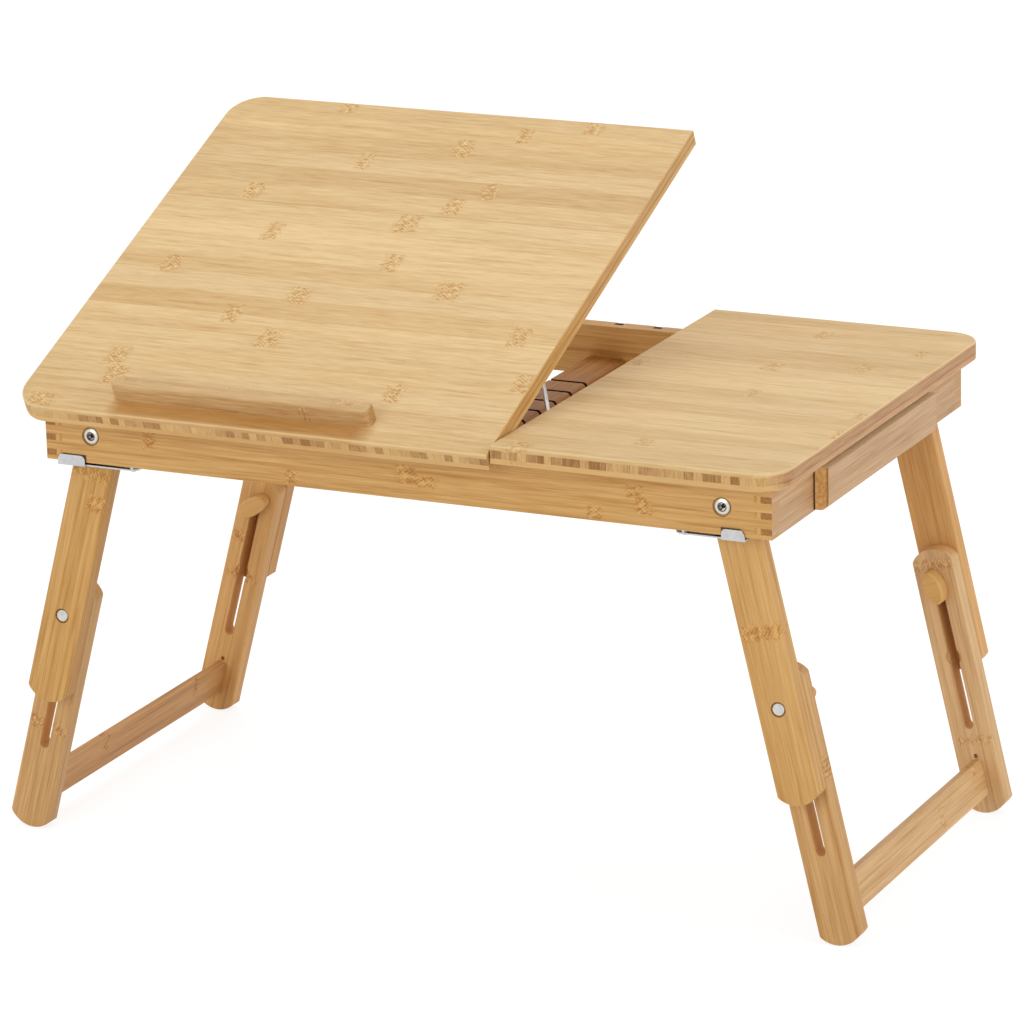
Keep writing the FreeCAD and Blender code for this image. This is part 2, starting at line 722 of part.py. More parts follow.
leaf_screws = []
panel_screws = []
for mark, middle in zip("ab", HINGES):
    for half, where in (("-1", "left"), ("1", "right")):
        spot = middle + " + " + half + " * leaf_screw_side"
        leaf_screws.append(sunk_screw("leaf_screw_" + mark + where, spot,
                                      "hinge_y + hinge_leaf * leaf_screw_place", "deck - fit_gap", -1))
        panel_screws.append(sunk_screw("panel_screw_" + mark + where, spot, "hinge_leaf * leaf_screw_place",
                                       "fit_gap", 1))
hinge_screws_lower = group("hinge_screws_lower", leaf_screws)
hinge_screws_upper = group("hinge_screws_upper", panel_screws)
put(hinge_screws_upper, *TILTED)

# ---- wire prop and its clips -----------------------------------------------------------------------------
# The clips' bore runs along X, below the panel's underside by prop_drop.
clips = []
clip_screws = []
for mark, middle in (("a", "prop_left + clip_inset"), ("b", "prop_right - clip_inset")):
    plate = block("clip_plate_" + mark, middle + " - clip_wide / 2", "prop_reach - clip_deep / 2",
                  "-clip_sheet",
                  "clip_wide", "clip_deep", "clip_sheet")
    saddle = rod("clip_saddle_" + mark, middle + " - clip_wide / 2", "prop_reach", "-prop_drop",
                 "prop_wire / 2 + clip_wall", "clip_wide", "x")
    shell = fuse("clip_shell_" + mark, [plate, saddle])
    bore = rod("clip_bore_" + mark, middle + " - clip_wide", "prop_reach", "-prop_drop",
               "prop_wire / 2 + fit_gap", "2 * clip_wide", "x")
    drills = [bore]
    for half, where in (("-1", "front"), ("1", "rear")):
        spot = "prop_reach + " + half + " * clip_screw_spread * clip_deep"
        drills.append(rod("clip_hole_" + mark + where, middle, spot, "-clip_sheet - 1",
                          "small_shank / 2 + fit_gap", "clip_sheet + 2"))
        clip_screws.append(fuse("clip_screw_" + mark + where,
                                [cone("clip_screw_head_" + mark + where, middle, spot,
                                      "-clip_sheet - screw_crown", "small_shank / 2", "small_head / 2",
                                      "screw_crown"),
                                 rod("clip_screw_shank_" + mark + where, middle, spot,
                                     "-clip_sheet - screw_crown / 2", "small_shank / 2", "small_length")]))
    clips.append(cut("clip_" + mark, shell, fuse("clip_drills_" + mark, drills)))
bail_clips = group("bail_clips", clips)
put(bail_clips, *TILTED)
bail_clip_screws = group("bail_clip_screws", clip_screws)
put(bail_clip_screws, *TILTED)


def open_path(item, points):
    """Chain of straight runs and tangent arcs; a point with a third and fourth term starts an arc."""
    spots = [(num(one[0]), num(one[1])) for one in points]
    edges = []
    for index in range(len(points) - 1):
        start = Vec(spots[index][0], spots[index][1], 0)
        stop = Vec(spots[index + 1][0], spots[index + 1][1], 0)
        one = points[index]
        if len(one) == 2:
            edges.append(item.addGeometry(Part.LineSegment(start, stop), False))
        else:
            bend = arc_through(start, Vec(num(one[2]), num(one[3]), 0), stop)
            edges.append(item.addGeometry(bend, False))
    ends = []
    for index, edge in enumerate(edges):
        start = Vec(spots[index][0], spots[index][1], 0)
        curve = item.Geometry[edge]
        first = 1
        if (curve.StartPoint - start).Length > (curve.EndPoint - start).Length:
            first = 2
        ends.append((first, 3 - first))
    for index in range(len(edges) - 1):
        item.addConstraint(Sketcher.Constraint("Coincident", edges[index], ends[index][1],
                                               edges[index + 1], ends[index + 1][0]))
    for index, edge in enumerate(edges):
        tie(item, "DistanceX", edge, ends[index][0], points[index][0])
        tie(item, "DistanceY", edge, ends[index][0], points[index][1])
        if len(points[index]) > 2:
            where = item.addConstraint(Sketcher.Constraint("Radius", edge, num("prop_bend")))
            item.renameConstraint(where, "r%d" % where)
            item.setExpression("Constraints.r%d" % where, ex("prop_bend"))
    tie(item, "DistanceX", edges[-1], ends[-1][1], points[-1][0])
    tie(item, "DistanceY", edges[-1], ends[-1][1], points[-1][1])


# One bent wire: a cross run in the clips, two legs that straddle the brace, and two short feet that turn in
# towards the kerf and stop a clearance short of the brace's sides.
bail = body("bail_wire")
wire_path = sketch(bail, "bail_path", "XZ_Plane")
COS45 = "0.70710678"
BEND = "prop_bend"
OUT = "(1 - " + COS45 + ") * prop_bend"
open_path(wire_path, [
    ("bar_right + free_gap", "-prop_long"),
    ("prop_right - prop_bend", "-prop_long", "prop_right - " + OUT, "-prop_long + " + OUT),
    ("prop_right", "-prop_long + prop_bend"),
    ("prop_right", "-prop_bend", "prop_right - " + OUT, "-" + OUT),
    ("prop_right - prop_bend", "0"),
    ("prop_left + prop_bend", "0", "prop_left + " + OUT, "-" + OUT),
    ("prop_left", "-prop_bend"),
    ("prop_left", "-prop_long + prop_bend", "prop_left + " + OUT, "-prop_long + " + OUT),
    ("prop_left + prop_bend", "-prop_long"),
    ("bar_left - free_gap", "-prop_long"),
])
wire_round = sketch(bail, "bail_round", "YZ_Plane", "bar_right + free_gap")
circle(wire_round, "0", "-prop_long", "prop_wire / 2")
wire_pipe = bail.newObject("PartDesign::AdditivePipe", "bail_pipe")
wire_pipe.Profile = wire_round
wire_pipe.Spine = wire_path
put(bail, "0", "prop_top_y", "prop_top_z", (1, 0, 0), "prop_lean")

# ---- legs ------------------------------------------------------------------------------------------------
# In a leg's own frame x runs across it, y is world Y and z runs up the leg; the upper leg's origin is its
# pivot, and the lower leg's is the top centre of its slot.


def leg_blank(owner, name, top, top_radius, tip, tip_radius):
    """Plank with four soft long edges and two arched ends; top and tip are the arcs' crowns."""
    half = "leg_wide / 2"
    section = sketch(owner, name + "_section", "XY_Plane", tip)
    rect(section, "-" + half, half, "-leg_thick", "0")
    plank = pad(owner, section, top + " - (" + tip + ")")
    length = num(top + " - (" + tip + ")")
    round_off(owner, plank, "leg_arris", lambda edge: abs(edge.BoundBox.ZLength - length) < 1e-4)
    for end, crown, radius, away in (("tip", tip, tip_radius, -1), ("top", top, top_radius, 1)):
        sag = "(%s - sqrt((%s) ^ 2 - leg_wide ^ 2 / 4))" % (radius, radius)
        shoulder = "%s - %d * %s" % (crown, away, sag)
        beyond = "%s + %d * 2" % (crown, away)
        arch = sketch(owner, name + "_" + end + "_arch", "XZ_Plane")
        outline(arch, [
            ("-" + half + " - 1", beyond),
            (half + " + 1", beyond),
            (half + " + 1", shoulder),
            (half, shoulder, "0", crown, radius),
            ("-" + half, shoulder),
            ("-" + half + " - 1", shoulder),
        ])
        pocket(owner, arch)


def upper_leg(name, side):
    """Front upper leg; its inner face is at y = 0 and its outer face looks to the front."""
    owner = body(name)
    leg_blank(owner, name, "leg_wide / 2 + 0.01", "leg_wide / 2 + 0.01", "-upper_reach", "end_round")
    drill = sketch(owner, name + "_pivot_hole", "XZ_Plane")
    circle(drill, "0", "0", "bush_wide / 2 + fit_gap")
    circle(drill, "0", "-bolt_reach", "slot_bolt / 2 + fit_gap")
    pocket(owner, drill)
    sink = sketch(owner, name + "_disc_seat", "XZ_Plane", "leg_thick")
    circle(sink, "0", "-bolt_reach", "disc_hole / 2")
    pocket(owner, sink, "disc_sink")
    lean = "lean_left" if side < 0 else "lean_right"
    put(owner, "%d * pivot_x" % side, "-upper_in", "pivot_z", (0, -side, 0), lean)
    return owner


def lower_leg(name, side):
    """Front lower leg: a slot for the clamping bolt with round seats, and a mortise for the stretcher."""
    owner = body(name)
    leg_blank(owner, name, "slot_head", "top_round", "-foot_tip", "end_round")
    slot = sketch(owner, name + "_slot", "XZ_Plane")
    outline(slot, [
        ("slot_wide / 2", "-height_travel"),
        ("slot_wide / 2", "0", "0", "slot_wide / 2", "0", "DistanceY"),
        ("-slot_wide / 2", "0"),
        ("-slot_wide / 2", "-height_travel", "0", "-height_travel - slot_wide / 2", "-height_travel",
         "DistanceY"),
    ])
    pocket(owner, slot)
    seat = sketch(owner, name + "_seats", "XZ_Plane")
    circle(seat, "0", "0", "seat_wide / 2")
    first = pocket(owner, seat, "seat_deep", backwards=True)
    repeat(owner, first, seat, "V_Axis", "seat_pitch * (seat_count - 1)", "seat_count", backwards=True)
    joint = sketch(owner, name + "_mortise", "XZ_Plane")
    rect(joint, "-stretcher_thick / 2 + tenon_cheek", "stretcher_thick / 2 - tenon_cheek",
         "-stretcher_drop - stretcher_high / 2 + tenon_shoulder",
         "-stretcher_drop + stretcher_high / 2 - tenon_shoulder")
    pocket(owner, joint, "tenon_deep + rub_gap", backwards=True)
    peg = sketch(owner, name + "_peg_hole", "XZ_Plane")
    circle(peg, "0", "-stretcher_drop + peg_rise - stretcher_rise", "peg_hole / 2")
    pocket(owner, peg, "3", backwards=True)
    return hang(owner, side, "-lower_in")


def hang(item, side, y):
    """Places a piece of a lower leg frame: it leans with its side and reaches down to the floor."""
    lean = "lean_left" if side < 0 else "lean_right"
    foot = "foot_left" if side < 0 else "foot_right"
    reach = "(" + foot + " - slot_to_foot)"
    return put(item, "%d * (pivot_x + %s * sin(%s))" % (side, reach, lean), y,
               "pivot_z - %s * cos(%s)" % (reach, lean), (0, -side, 0), lean)


def stretcher(name, side):
    """Cross rail between a pair of lower legs, with a tenon at each end."""
    rail = block(name + "_rail", "-stretcher_thick / 2", "-lower_in", "-stretcher_drop - stretcher_high / 2",
                 "stretcher_thick", "2 * lower_in", "stretcher_high")
    doc.recompute()
    soft = doc.addObject("Part::Fillet", name + "_soft")
    soft.Base = rail
    arris = num("stretcher_arris")
    soft.Edges = [(index, arris, arris) for index, edge in enumerate(rail.Shape.Edges, start=1)
                  if abs(edge.BoundBox.YLength - num("2 * lower_in")) < 0.001]
    tenon = block(name + "_tenon", "-stretcher_thick / 2 + tenon_cheek", "-lower_in - tenon_deep",
                  "-stretcher_drop - stretcher_high / 2 + tenon_shoulder",
                  "stretcher_thick - 2 * tenon_cheek",
                  "2 * (lower_in + tenon_deep)", "stretcher_high - 2 * tenon_shoulder")
    return hang(fuse(name, [soft, tenon]), side, "0")


def knob(name, side, turn):
    """Oval grip on the front leg's inner side with a nut let into it; it turns on the slot bolt."""
    owner = body(name)
    face = sketch(owner, name + "_face", "XZ_Plane")
    outline(face, [
        ("knob_join_u", "-knob_join_v", "knob_a", "0", "knob_end"),
        ("knob_join_u", "knob_join_v", "0", "knob_b", "knob_flank"),
        ("-knob_join_u", "knob_join_v", "-knob_a", "0", "knob_end"),
        ("-knob_join_u", "-knob_join_v", "0", "-knob_b", "knob_flank"),
    ])
    grip = pad(owner, face, "knob_thick", backwards=True)
    thick = num("knob_thick")
    round_off(owner, grip, "knob_arris", lambda edge: flat_at(edge, 1, thick))
    hole = sketch(owner, name + "_hole", "XZ_Plane")
    circle(hole, "0", "0", "slot_bolt / 2 + fit_gap")
    pocket(owner, hole, "knob_thick - knob_wall")
    nut_seat = sketch(owner, name + "_nut_seat", "XZ_Plane")
    circle(nut_seat, "0", "0", "nut_flats / 1.7320508")
    pocket(owner, nut_seat, "nut_thick")
    lean = "lean_left" if side < 0 else "lean_right"
    put(owner, "%d * (pivot_x + bolt_reach * sin(%s))" % (side, lean), "-knob_back",
        "pivot_z - bolt_reach * cos(%s)" % lean, (0, -1, 0), turn)
    return owner


def knob_nut(name, side):
    """Steel nut, a running fit on the slot bolt."""
    lean = "lean_left" if side < 0 else "lean_right"
    x = "%d * (pivot_x + bolt_reach * sin(%s))" % (side, lean)
    z = "pivot_z - bolt_reach * cos(%s)" % lean
    ring = rod(name + "_ring", x, "-knob_back", z, "nut_flats / 1.7320508", "nut_thick", "y")
    bore = rod(name + "_bore", x, "-knob_back - 1", z, "slot_bolt / 2 + fit_gap", "nut_thick + 2", "y")
    return cut(name, ring, bore)


def slot_bolt(name, side):
    """Bolt through both legs of a pair, with a flat disc head let into the upper leg's outer face."""
    lean = "lean_left" if side < 0 else "lean_right"
    x = "%d * (pivot_x + bolt_reach * sin(%s))" % (side, lean)
    z = "pivot_z - bolt_reach * cos(%s)" % lean
    face = "(upper_out - disc_sink)"
    head = rod(name + "_head", x, "-%s - disc_thick + disc_arris" % face, z, "disc_wide / 2",
               "disc_thick - disc_arris", "y")
    rim = cone(name + "_rim", x, "-%s - disc_thick" % face, z, "disc_wide / 2 - disc_arris", "disc_wide / 2",
               "disc_arris", "y")
    shank = rod(name + "_shank", x, "-%s - disc_thick / 2" % face, z, "slot_bolt / 2",
                face + " + disc_thick / 2 - knob_back + knob_thick - 1.5 * knob_wall", "y")
    return fuse(name, [head, rim, shank])


def bush(name, side):
    """Sleeve in the upper leg that turns on the pivot bolt."""
    x = "%d * pivot_x" % side
    sleeve = rod(name + "_sleeve", x, "-upper_out", "pivot_z", "bush_wide / 2", "leg_thick", "y")
    bore = rod(name + "_bore", x, "-upper_out - 1", "pivot_z", "pivot_bolt / 2 + fit_gap",
               "leg_thick + 2", "y")
    return cut(name, sleeve, bore)


# The back pieces mirror the front ones about the plane through the middle of the frame.
BACK = (0, 1, 0)
for side, hand in ((-1, "left"), (1, "right")):
    mirror(hand + "_upper_leg_back", upper_leg(hand + "_upper_leg_front", side), BACK)
    mirror(hand + "_lower_leg_back", lower_leg(hand + "_lower_leg_front", side), BACK)
    knob("knob_front_" + hand, side, "knob_turn_left" if side < 0 else "knob_turn_near")
    back_grip = knob("knob_back_" + hand + "_grip", side, "knob_turn_" + hand)
    mirror("knob_back_" + hand, back_grip, BACK)
    mirror("knob_nut_back_" + hand, knob_nut("knob_nut_front_" + hand, side), BACK)
    stretcher(hand + "_stretcher", side)
    near_bolt = slot_bolt(hand + "_slot_bolt_front", side)
    group(hand + "_slot_bolts", [near_bolt, mirror(hand + "_slot_bolt_back", near_bolt, BACK)])
    near_bush = bush(hand + "_bush_front", side)
    group(hand + "_bushes", [near_bush, mirror(hand + "_bush_back", near_bush, BACK)])

# Pivot bolts: a low domed flange with a hexagon socket, sunk in the rail's outer face.
quarter = body("pivot_bolt_one")
dome = sketch(quarter, "pivot_bolt_dome", "YZ_Plane")
radius = "pivot_flange / 2"
# The dome's arc passes from its crown on the axis to the flange's rim.
reach = "rail_thick - pivot_sink + leg_gap + leg_thick - free_gap"
ball = "((" + radius + ") ^ 2 + (pivot_dome - pivot_rim) ^ 2) / (2 * (pivot_dome - pivot_rim))"
lift = "(" + ball + " - sqrt((" + ball + ") ^ 2 - pivot_flange ^ 2 / 16))"
outline(dome, [
    ("-pivot_dome", "0", "-pivot_dome + " + lift, "pivot_flange / 4", ball),
    ("-pivot_rim", radius),
    ("0", radius),
    ("0", "pivot_bolt / 2"),
    (reach, "pivot_bolt / 2"),
    (reach, "0"),
])
spin = quarter.newObject("PartDesign::Revolution", "pivot_bolt_turned")
spin.Profile = dome
spin.ReferenceAxis = (dome, ["H_Axis"])
spin.Angle = 360
socket = sketch(quarter, "pivot_bolt_socket", "XZ_Plane", "pivot_dome")
corner = "socket_flats / 1.7320508"
outline(socket, [
    (corner, "0"),
    (corner + " / 2", "socket_flats / 2"),
    ("-" + corner + " / 2", "socket_flats / 2"),
    ("-" + corner, "0"),
    ("-" + corner + " / 2", "-socket_flats / 2"),
    (corner + " / 2", "-socket_flats / 2"),
])
pocket(quarter, socket, "socket_deep")
put(quarter, "pivot_x", "-half_depth + pivot_sink", "pivot_z")
left_bolt = mirror("pivot_bolt_left", quarter, (1, 0, 0))
back_bolt = mirror("pivot_bolt_back", quarter, (0, 1, 0))
last_bolt = mirror("pivot_bolt_back_left", left_bolt, (0, 1, 0))
group("pivot_bolts", [quarter, left_bolt, back_bolt, last_bolt])

# ---- drawer ----------------------------------------------------------------------------------------------
# A tray with an overlaid front board; its grooved sides run on tongues of two guides under the fixed panel.
drawer_front = body("drawer_front")
board = sketch(drawer_front, "drawer_front_board", "YZ_Plane")
rect(board, "drawer_low", "drawer_high", "drawer_front_low", "drawer_front_low + drawer_front_high")
board_pad = pad(drawer_front, board, "drawer_front_thick")
board_out = num("drawer_front_thick")
board_low = num("drawer_front_low")
round_off(drawer_front, board_pad, "drawer_front_round",
          lambda edge: flat_at(edge, 0, board_out) and flat_at(edge, 2, board_low))
put(drawer_front, "box_end", "0", "frame_height")


def drawer_side(name, side):
    """Side with the runner's groove outside and the floor's groove inside."""
    start = "box_low" if side < 0 else "box_high - drawer_side_thick"
    plank = block(name + "_plank", "box_start", start, "box_z", "drawer_length", "drawer_side_thick",
                  "drawer_box_high")
    groove_y = "box_low - 1" if side < 0 else "box_high - runner_deep - slide_gap"
    groove = block(name + "_groove", "box_start - 1", groove_y,
                   "frame_height + runner_up - runner_high / 2 - slide_gap",
                   "drawer_length - groove_end", "runner_deep + slide_gap + 1",
                   "runner_high + 2 * slide_gap")
    low_slot = "box_low + drawer_side_thick - drawer_floor_let"
    slot_y = low_slot if side < 0 else "box_high - drawer_side_thick - 1"
    slot = block(name + "_slot", "box_start - 1", slot_y, "box_z + drawer_floor_up", "drawer_length + 2",
                 "drawer_floor_let + 1", "drawer_floor_thick")
    return cut(name, plank, fuse(name + "_cuts", [groove, slot]))


drawer_side("drawer_side_front", -1)
drawer_side("drawer_side_back", 1)
block("drawer_inner_end", "box_start", "box_low + drawer_side_thick",
      "box_z + drawer_floor_up + drawer_floor_thick", "drawer_side_thick",
      "box_high - box_low - 2 * drawer_side_thick", "drawer_box_high - drawer_floor_up - drawer_floor_thick")
block("drawer_floor", "box_start", "box_low + drawer_side_thick - drawer_floor_let",
      "box_z + drawer_floor_up", "drawer_length",
      "box_high - box_low - 2 * (drawer_side_thick - drawer_floor_let)", "drawer_floor_thick")


def drawer_guide(name, side):
    """Guide glued under the fixed panel, with a tongue for the drawer side's groove."""
    wall_y = "box_low - slide_gap - guide_thick" if side < 0 else "box_high + slide_gap"
    start = "bay_place + bay_wall"
    wall = block(name + "_wall", start, wall_y, "frame_height + drawer_box_low",
                 "inner_x - bay_place - bay_wall", "guide_thick", "rail_height - drawer_box_low")
    tongue_y = "box_low - slide_gap" if side < 0 else "box_high - runner_deep"
    tongue = block(name + "_tongue", start, tongue_y, "frame_height + runner_up - runner_high / 2",
                   "inner_x - bay_place - bay_wall", "runner_deep + slide_gap", "runner_high")
    return fuse(name, [wall, tongue])


drawer_guide("drawer_guide_front", -1)
drawer_guide("drawer_guide_back", 1)
block("drawer_bay_wall", "bay_place", "box_low - slide_gap - guide_thick", "frame_height + drawer_box_low",
      "bay_wall", "box_high - box_low + 2 * (slide_gap + guide_thick)", "rail_height - drawer_box_low")

# ---- turn latches ----------------------------------------------------------------------------------------


def latch(name, side):
    """Steel plate that turns about its screw under the front rail, with a finger tab bent up at the end."""
    owner = body(name)
    plan = sketch(owner, name + "_plan", "XY_Plane")
    half = "latch_wide / 2"
    hand = "left" if side < 0 else "right"
    far = "%d * latch_reach_%s" % (side, hand)
    outline(plan, [
        ("0", half, "%d * latch_wide / 2" % -side, "0", "0", "DistanceX"),
        ("0", "-" + half),
        (far, "-" + half),
        (far, half),
    ])
    pad(owner, plan, "latch_sheet")
    tab_y = "half_depth + free_gap - (half_depth - rail_thick / 2)"
    tab = sketch(owner, name + "_tab", "XZ_Plane", tab_y)
    start = "%d * (latch_reach_%s - latch_tab_%s)" % (side, hand, hand)
    turn = "latch_tab_corner"
    bulge = "%d * latch_tab_corner * 0.29289322" % side
    outline(tab, [
        (far, "0"),
        (far, "latch_tab_heel"),
        (far + " - %d * latch_tab_slant" % side, "latch_tab_high"),
        (start + " + %d * latch_tab_corner" % side, "latch_tab_high", start + " + " + bulge,
         "latch_tab_high - %d * (%s)" % (side, bulge), turn),
        (start, "latch_tab_high - " + turn),
        (start, "0"),
    ])
    pad(owner, tab, "latch_sheet")
    bridge = sketch(owner, name + "_bridge", "XY_Plane")
    rect(bridge, start, far, "-(" + tab_y + ") - latch_sheet", "-" + half)
    pad(owner, bridge, "latch_sheet")
    hole = sketch(owner, name + "_hole", "XY_Plane")
    circle(hole, "0", "0", "screw_shank / 2 + fit_gap")
    pocket(owner, hole)
    put(owner, "%d * latch_screw_x" % side, "-half_depth + rail_thick / 2", "latch_top - latch_sheet")
    return owner


latch("latch_left", -1)
latch("latch_right", 1)


def latch_screw(name, side):
    x = "%d * latch_screw_x" % side
    y = "-half_depth + rail_thick / 2"
    head_z = "latch_top - latch_sheet - rub_gap"
    head = rod(name + "_rim", x, y, head_z, "screw_head / 2", "screw_rim", "-z")
    crown = cone(name + "_crown", x, y, head_z + " - screw_rim", "screw_head / 2", "screw_head / 4",
                 "screw_crown", "-z")
    shank = rod(name + "_shank", x, y, head_z + " - screw_rim / 2", "screw_shank / 2",
                "latch_sheet + latch_gap + screw_rim / 2 + rub_gap + screw_length")
    return fuse(name, [head, crown, shank])


def latch_washer(name, side):
    x = "%d * latch_screw_x" % side
    y = "-half_depth + rail_thick / 2"
    ring = rod(name + "_ring", x, y, "latch_top + rub_gap", "screw_head / 2 + washer_edge",
               "latch_gap - rub_gap")
    bore = rod(name + "_bore", x, y, "latch_top - 1", "screw_shank / 2 + fit_gap", "latch_gap + 2")
    return cut(name, ring, bore)


group("latch_screws", [latch_screw("latch_screw_left", -1), latch_screw("latch_screw_right", 1)])
group("latch_washers", [latch_washer("latch_washer_left", -1), latch_washer("latch_washer_right", 1)])

# ---- checks and export -----------------------------------------------------------------------------------
NODES = [
    "front_rail", "back_rail", "left_rail", "right_rail", "notched_bar",
    "fixed_top", "tilt_top", "ledge",
    "hinge_leaves_lower", "hinge_leaves_upper", "hinge_pins", "hinge_screws_lower", "hinge_screws_upper",
    "bail_wire", "bail_clips", "bail_clip_screws",
    "left_upper_leg_front", "left_upper_leg_back", "right_upper_leg_front", "right_upper_leg_back",
    "left_lower_leg_front", "left_lower_leg_back", "right_lower_leg_front", "right_lower_leg_back",
    "left_stretcher", "right_stretcher",
    "left_slot_bolts", "right_slot_bolts", "left_bushes", "right_bushes", "pivot_bolts",
    "knob_front_left", "knob_back_left", "knob_front_right", "knob_back_right",
    "knob_nut_front_left", "knob_nut_back_left", "knob_nut_front_right", "knob_nut_back_right",
    "drawer_front", "drawer_side_front", "drawer_side_back", "drawer_inner_end", "drawer_floor",
    "drawer_guide_front", "drawer_guide_back", "drawer_bay_wall",
    "latch_left", "latch_right", "latch_screws", "latch_washers",
]
doc.recompute()
for item in doc.Objects:
    for word in ("Invalid", "Error"):
        if word in item.State:
            raise RuntimeError("%s is %s" % (item.Name, item.State))
for name in NODES:
    item = doc.getObject(name)
    item.Label = name
    if item.Shape.isNull() or not item.Shape.isValid() or not item.Shape.Solids:
        raise RuntimeError("%s has no valid shape" % name)
os.makedirs("parts", exist_ok=True)
for name in NODES:
    doc.getObject(name).Shape.exportStep("parts/%s.step" % name)
print("wrote %d nodes" % len(NODES))
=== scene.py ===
import json
import math

import bmesh
import bpy
from mathutils import Matrix, Vector


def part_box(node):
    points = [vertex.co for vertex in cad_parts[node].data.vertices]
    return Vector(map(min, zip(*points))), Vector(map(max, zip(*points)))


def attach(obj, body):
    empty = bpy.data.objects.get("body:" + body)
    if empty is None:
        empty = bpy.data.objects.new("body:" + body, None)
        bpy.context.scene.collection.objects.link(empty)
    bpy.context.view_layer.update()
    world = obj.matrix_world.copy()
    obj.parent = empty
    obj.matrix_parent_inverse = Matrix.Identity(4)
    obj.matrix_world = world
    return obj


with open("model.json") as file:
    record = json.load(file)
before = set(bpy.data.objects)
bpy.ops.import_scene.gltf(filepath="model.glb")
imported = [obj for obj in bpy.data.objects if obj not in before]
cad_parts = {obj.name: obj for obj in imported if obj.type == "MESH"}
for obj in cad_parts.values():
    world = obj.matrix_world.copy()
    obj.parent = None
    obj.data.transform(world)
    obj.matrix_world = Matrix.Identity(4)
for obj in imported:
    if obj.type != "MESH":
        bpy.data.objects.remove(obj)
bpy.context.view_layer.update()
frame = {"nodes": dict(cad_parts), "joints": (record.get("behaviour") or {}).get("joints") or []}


# ---- Camera, floor and light ----------------------------------------------------------------------------
# A plain pale floor under a white surround, with one soft lamp above and behind the stand, and one more in
# front and one at the right. The camera stands 3.5 m off, to the right of the front and 17 degrees up.

view = bpy.data.cameras.new("view")
view.lens = 185.761
view.sensor_width = 36.0
view.clip_end = 60.0
camera = bpy.data.objects.new("view", view)
camera.location = (1.487468, -3.044780, 1.247575)
camera.rotation_euler = [math.radians(angle) for angle in (73.093798, 1.505619, 25.563525)]
bpy.context.scene.collection.objects.link(camera)
bpy.context.scene.camera = camera
bpy.context.scene.view_settings.view_transform = "Standard"


def linear(red, green, blue):
    """An 8-bit sRGB colour as linear RGBA."""
    made = []
    for level in (red, green, blue):
        level = level / 255.0
        made.append(level / 12.92 if level <= 0.04045 else ((level + 0.055) / 1.055) ** 2.4)
    return (made[0], made[1], made[2], 1.0)


def add(tree, kind, inputs=None, **settings):
    """One node with its settings, and its sockets filled or linked."""
    made = tree.nodes.new(kind)
    for key, value in settings.items():
        setattr(made, key, value)
    for key, value in (inputs or {}).items():
        if isinstance(value, bpy.types.NodeSocket):
            tree.links.new(value, made.inputs[key])
        else:
            made.inputs[key].default_value = value
    return made


def calc(tree, operation, first, second=0.0, third=0.0, clamp=False):
    """The value of one Math node."""
    made = add(tree, "ShaderNodeMath", {0: first, 1: second, 2: third}, operation=operation)
    made.use_clamp = clamp
    return made.outputs[0]


def blank_material(name):
    made = bpy.data.materials.new(name)
    made.use_nodes = True
    made.node_tree.nodes.clear()
    return made, made.node_tree


def looked_at(tree):
    """1 where the camera or a mirror image looks at a surface, 0 for the light it gives."""
    path = add(tree, "ShaderNodeLightPath").outputs
    return calc(tree, "ADD", path["Is Camera Ray"], path["Is Glossy Ray"], clamp=True)


floor_half = 12.0
floor_drop = 0.0005
floor_corners = [(x * floor_half, y * floor_half, 0) for x, y in ((-1, -1), (1, -1), (1, 1), (-1, 1))]
floor_mesh = bpy.data.meshes.new("floor")
floor_mesh.from_pydata(floor_corners, [], [(0, 1, 2, 3)])
floor = bpy.data.objects.new("floor", floor_mesh)
floor.location = (0, 0, -floor_drop)
bpy.context.scene.collection.objects.link(floor)
# The glow is over 1 to make up for the matt paint, which keeps the stand's shadow.
floor_white = 1.16
floor_share = 0.72
floor_paint, tree = blank_material("floor_paint")
matt = add(tree, "ShaderNodeBsdfDiffuse", {"Color": linear(244, 244, 243)})
glow = add(tree, "ShaderNodeEmission", {"Color": (1, 1, 1, 1), "Strength": floor_white})
both = add(tree, "ShaderNodeMixShader", {0: calc(tree, "MULTIPLY", looked_at(tree), floor_share),
                                         1: matt.outputs[0], 2: glow.outputs[0]})
add(tree, "ShaderNodeOutputMaterial", {"Surface": both.outputs[0]})
floor_mesh.materials.append(floor_paint)

surround_light = 0.72
world = bpy.data.worlds.new("surround")
bpy.context.scene.world = world
world.use_nodes = True
tree = world.node_tree
tree.nodes.clear()
level = calc(tree, "MULTIPLY_ADD", looked_at(tree), 1.0 - surround_light, surround_light)
sky = add(tree, "ShaderNodeBackground", {"Color": (1, 1, 1, 1), "Strength": level})
add(tree, "ShaderNodeOutputWorld", {"Surface": sky.outputs[0]})


def lamp(name, place, size, power):
    """A square soft lamp aimed at the middle of the stand."""
    made = bpy.data.lights.new(name, "AREA")
    made.shape = "SQUARE"
    made.size = size
    made.energy = power
    holder = bpy.data.objects.new(name, made)
    holder.location = place
    holder.rotation_euler = (Vector((0, 0, 0.22)) - Vector(place)).to_track_quat("-Z", "Y").to_euler()
    bpy.context.scene.collection.objects.link(holder)


lamp("overhead", (-0.3, 1.3, 2.5), 1.1, 14.5)
lamp("front", (-0.7, -3.0, 1.3), 1.6, 21.0)
lamp("right", (2.8, -0.4, 1.1), 1.4, 15.0)


# ---- Bamboo ---------------------------------------------------------------------------------------------
# Every wooden piece is glued up from bamboo strips and lacquered. The strips run along the grain; each has
# its own tone and long fibres, and flecked knuckles where the cane had its joints.


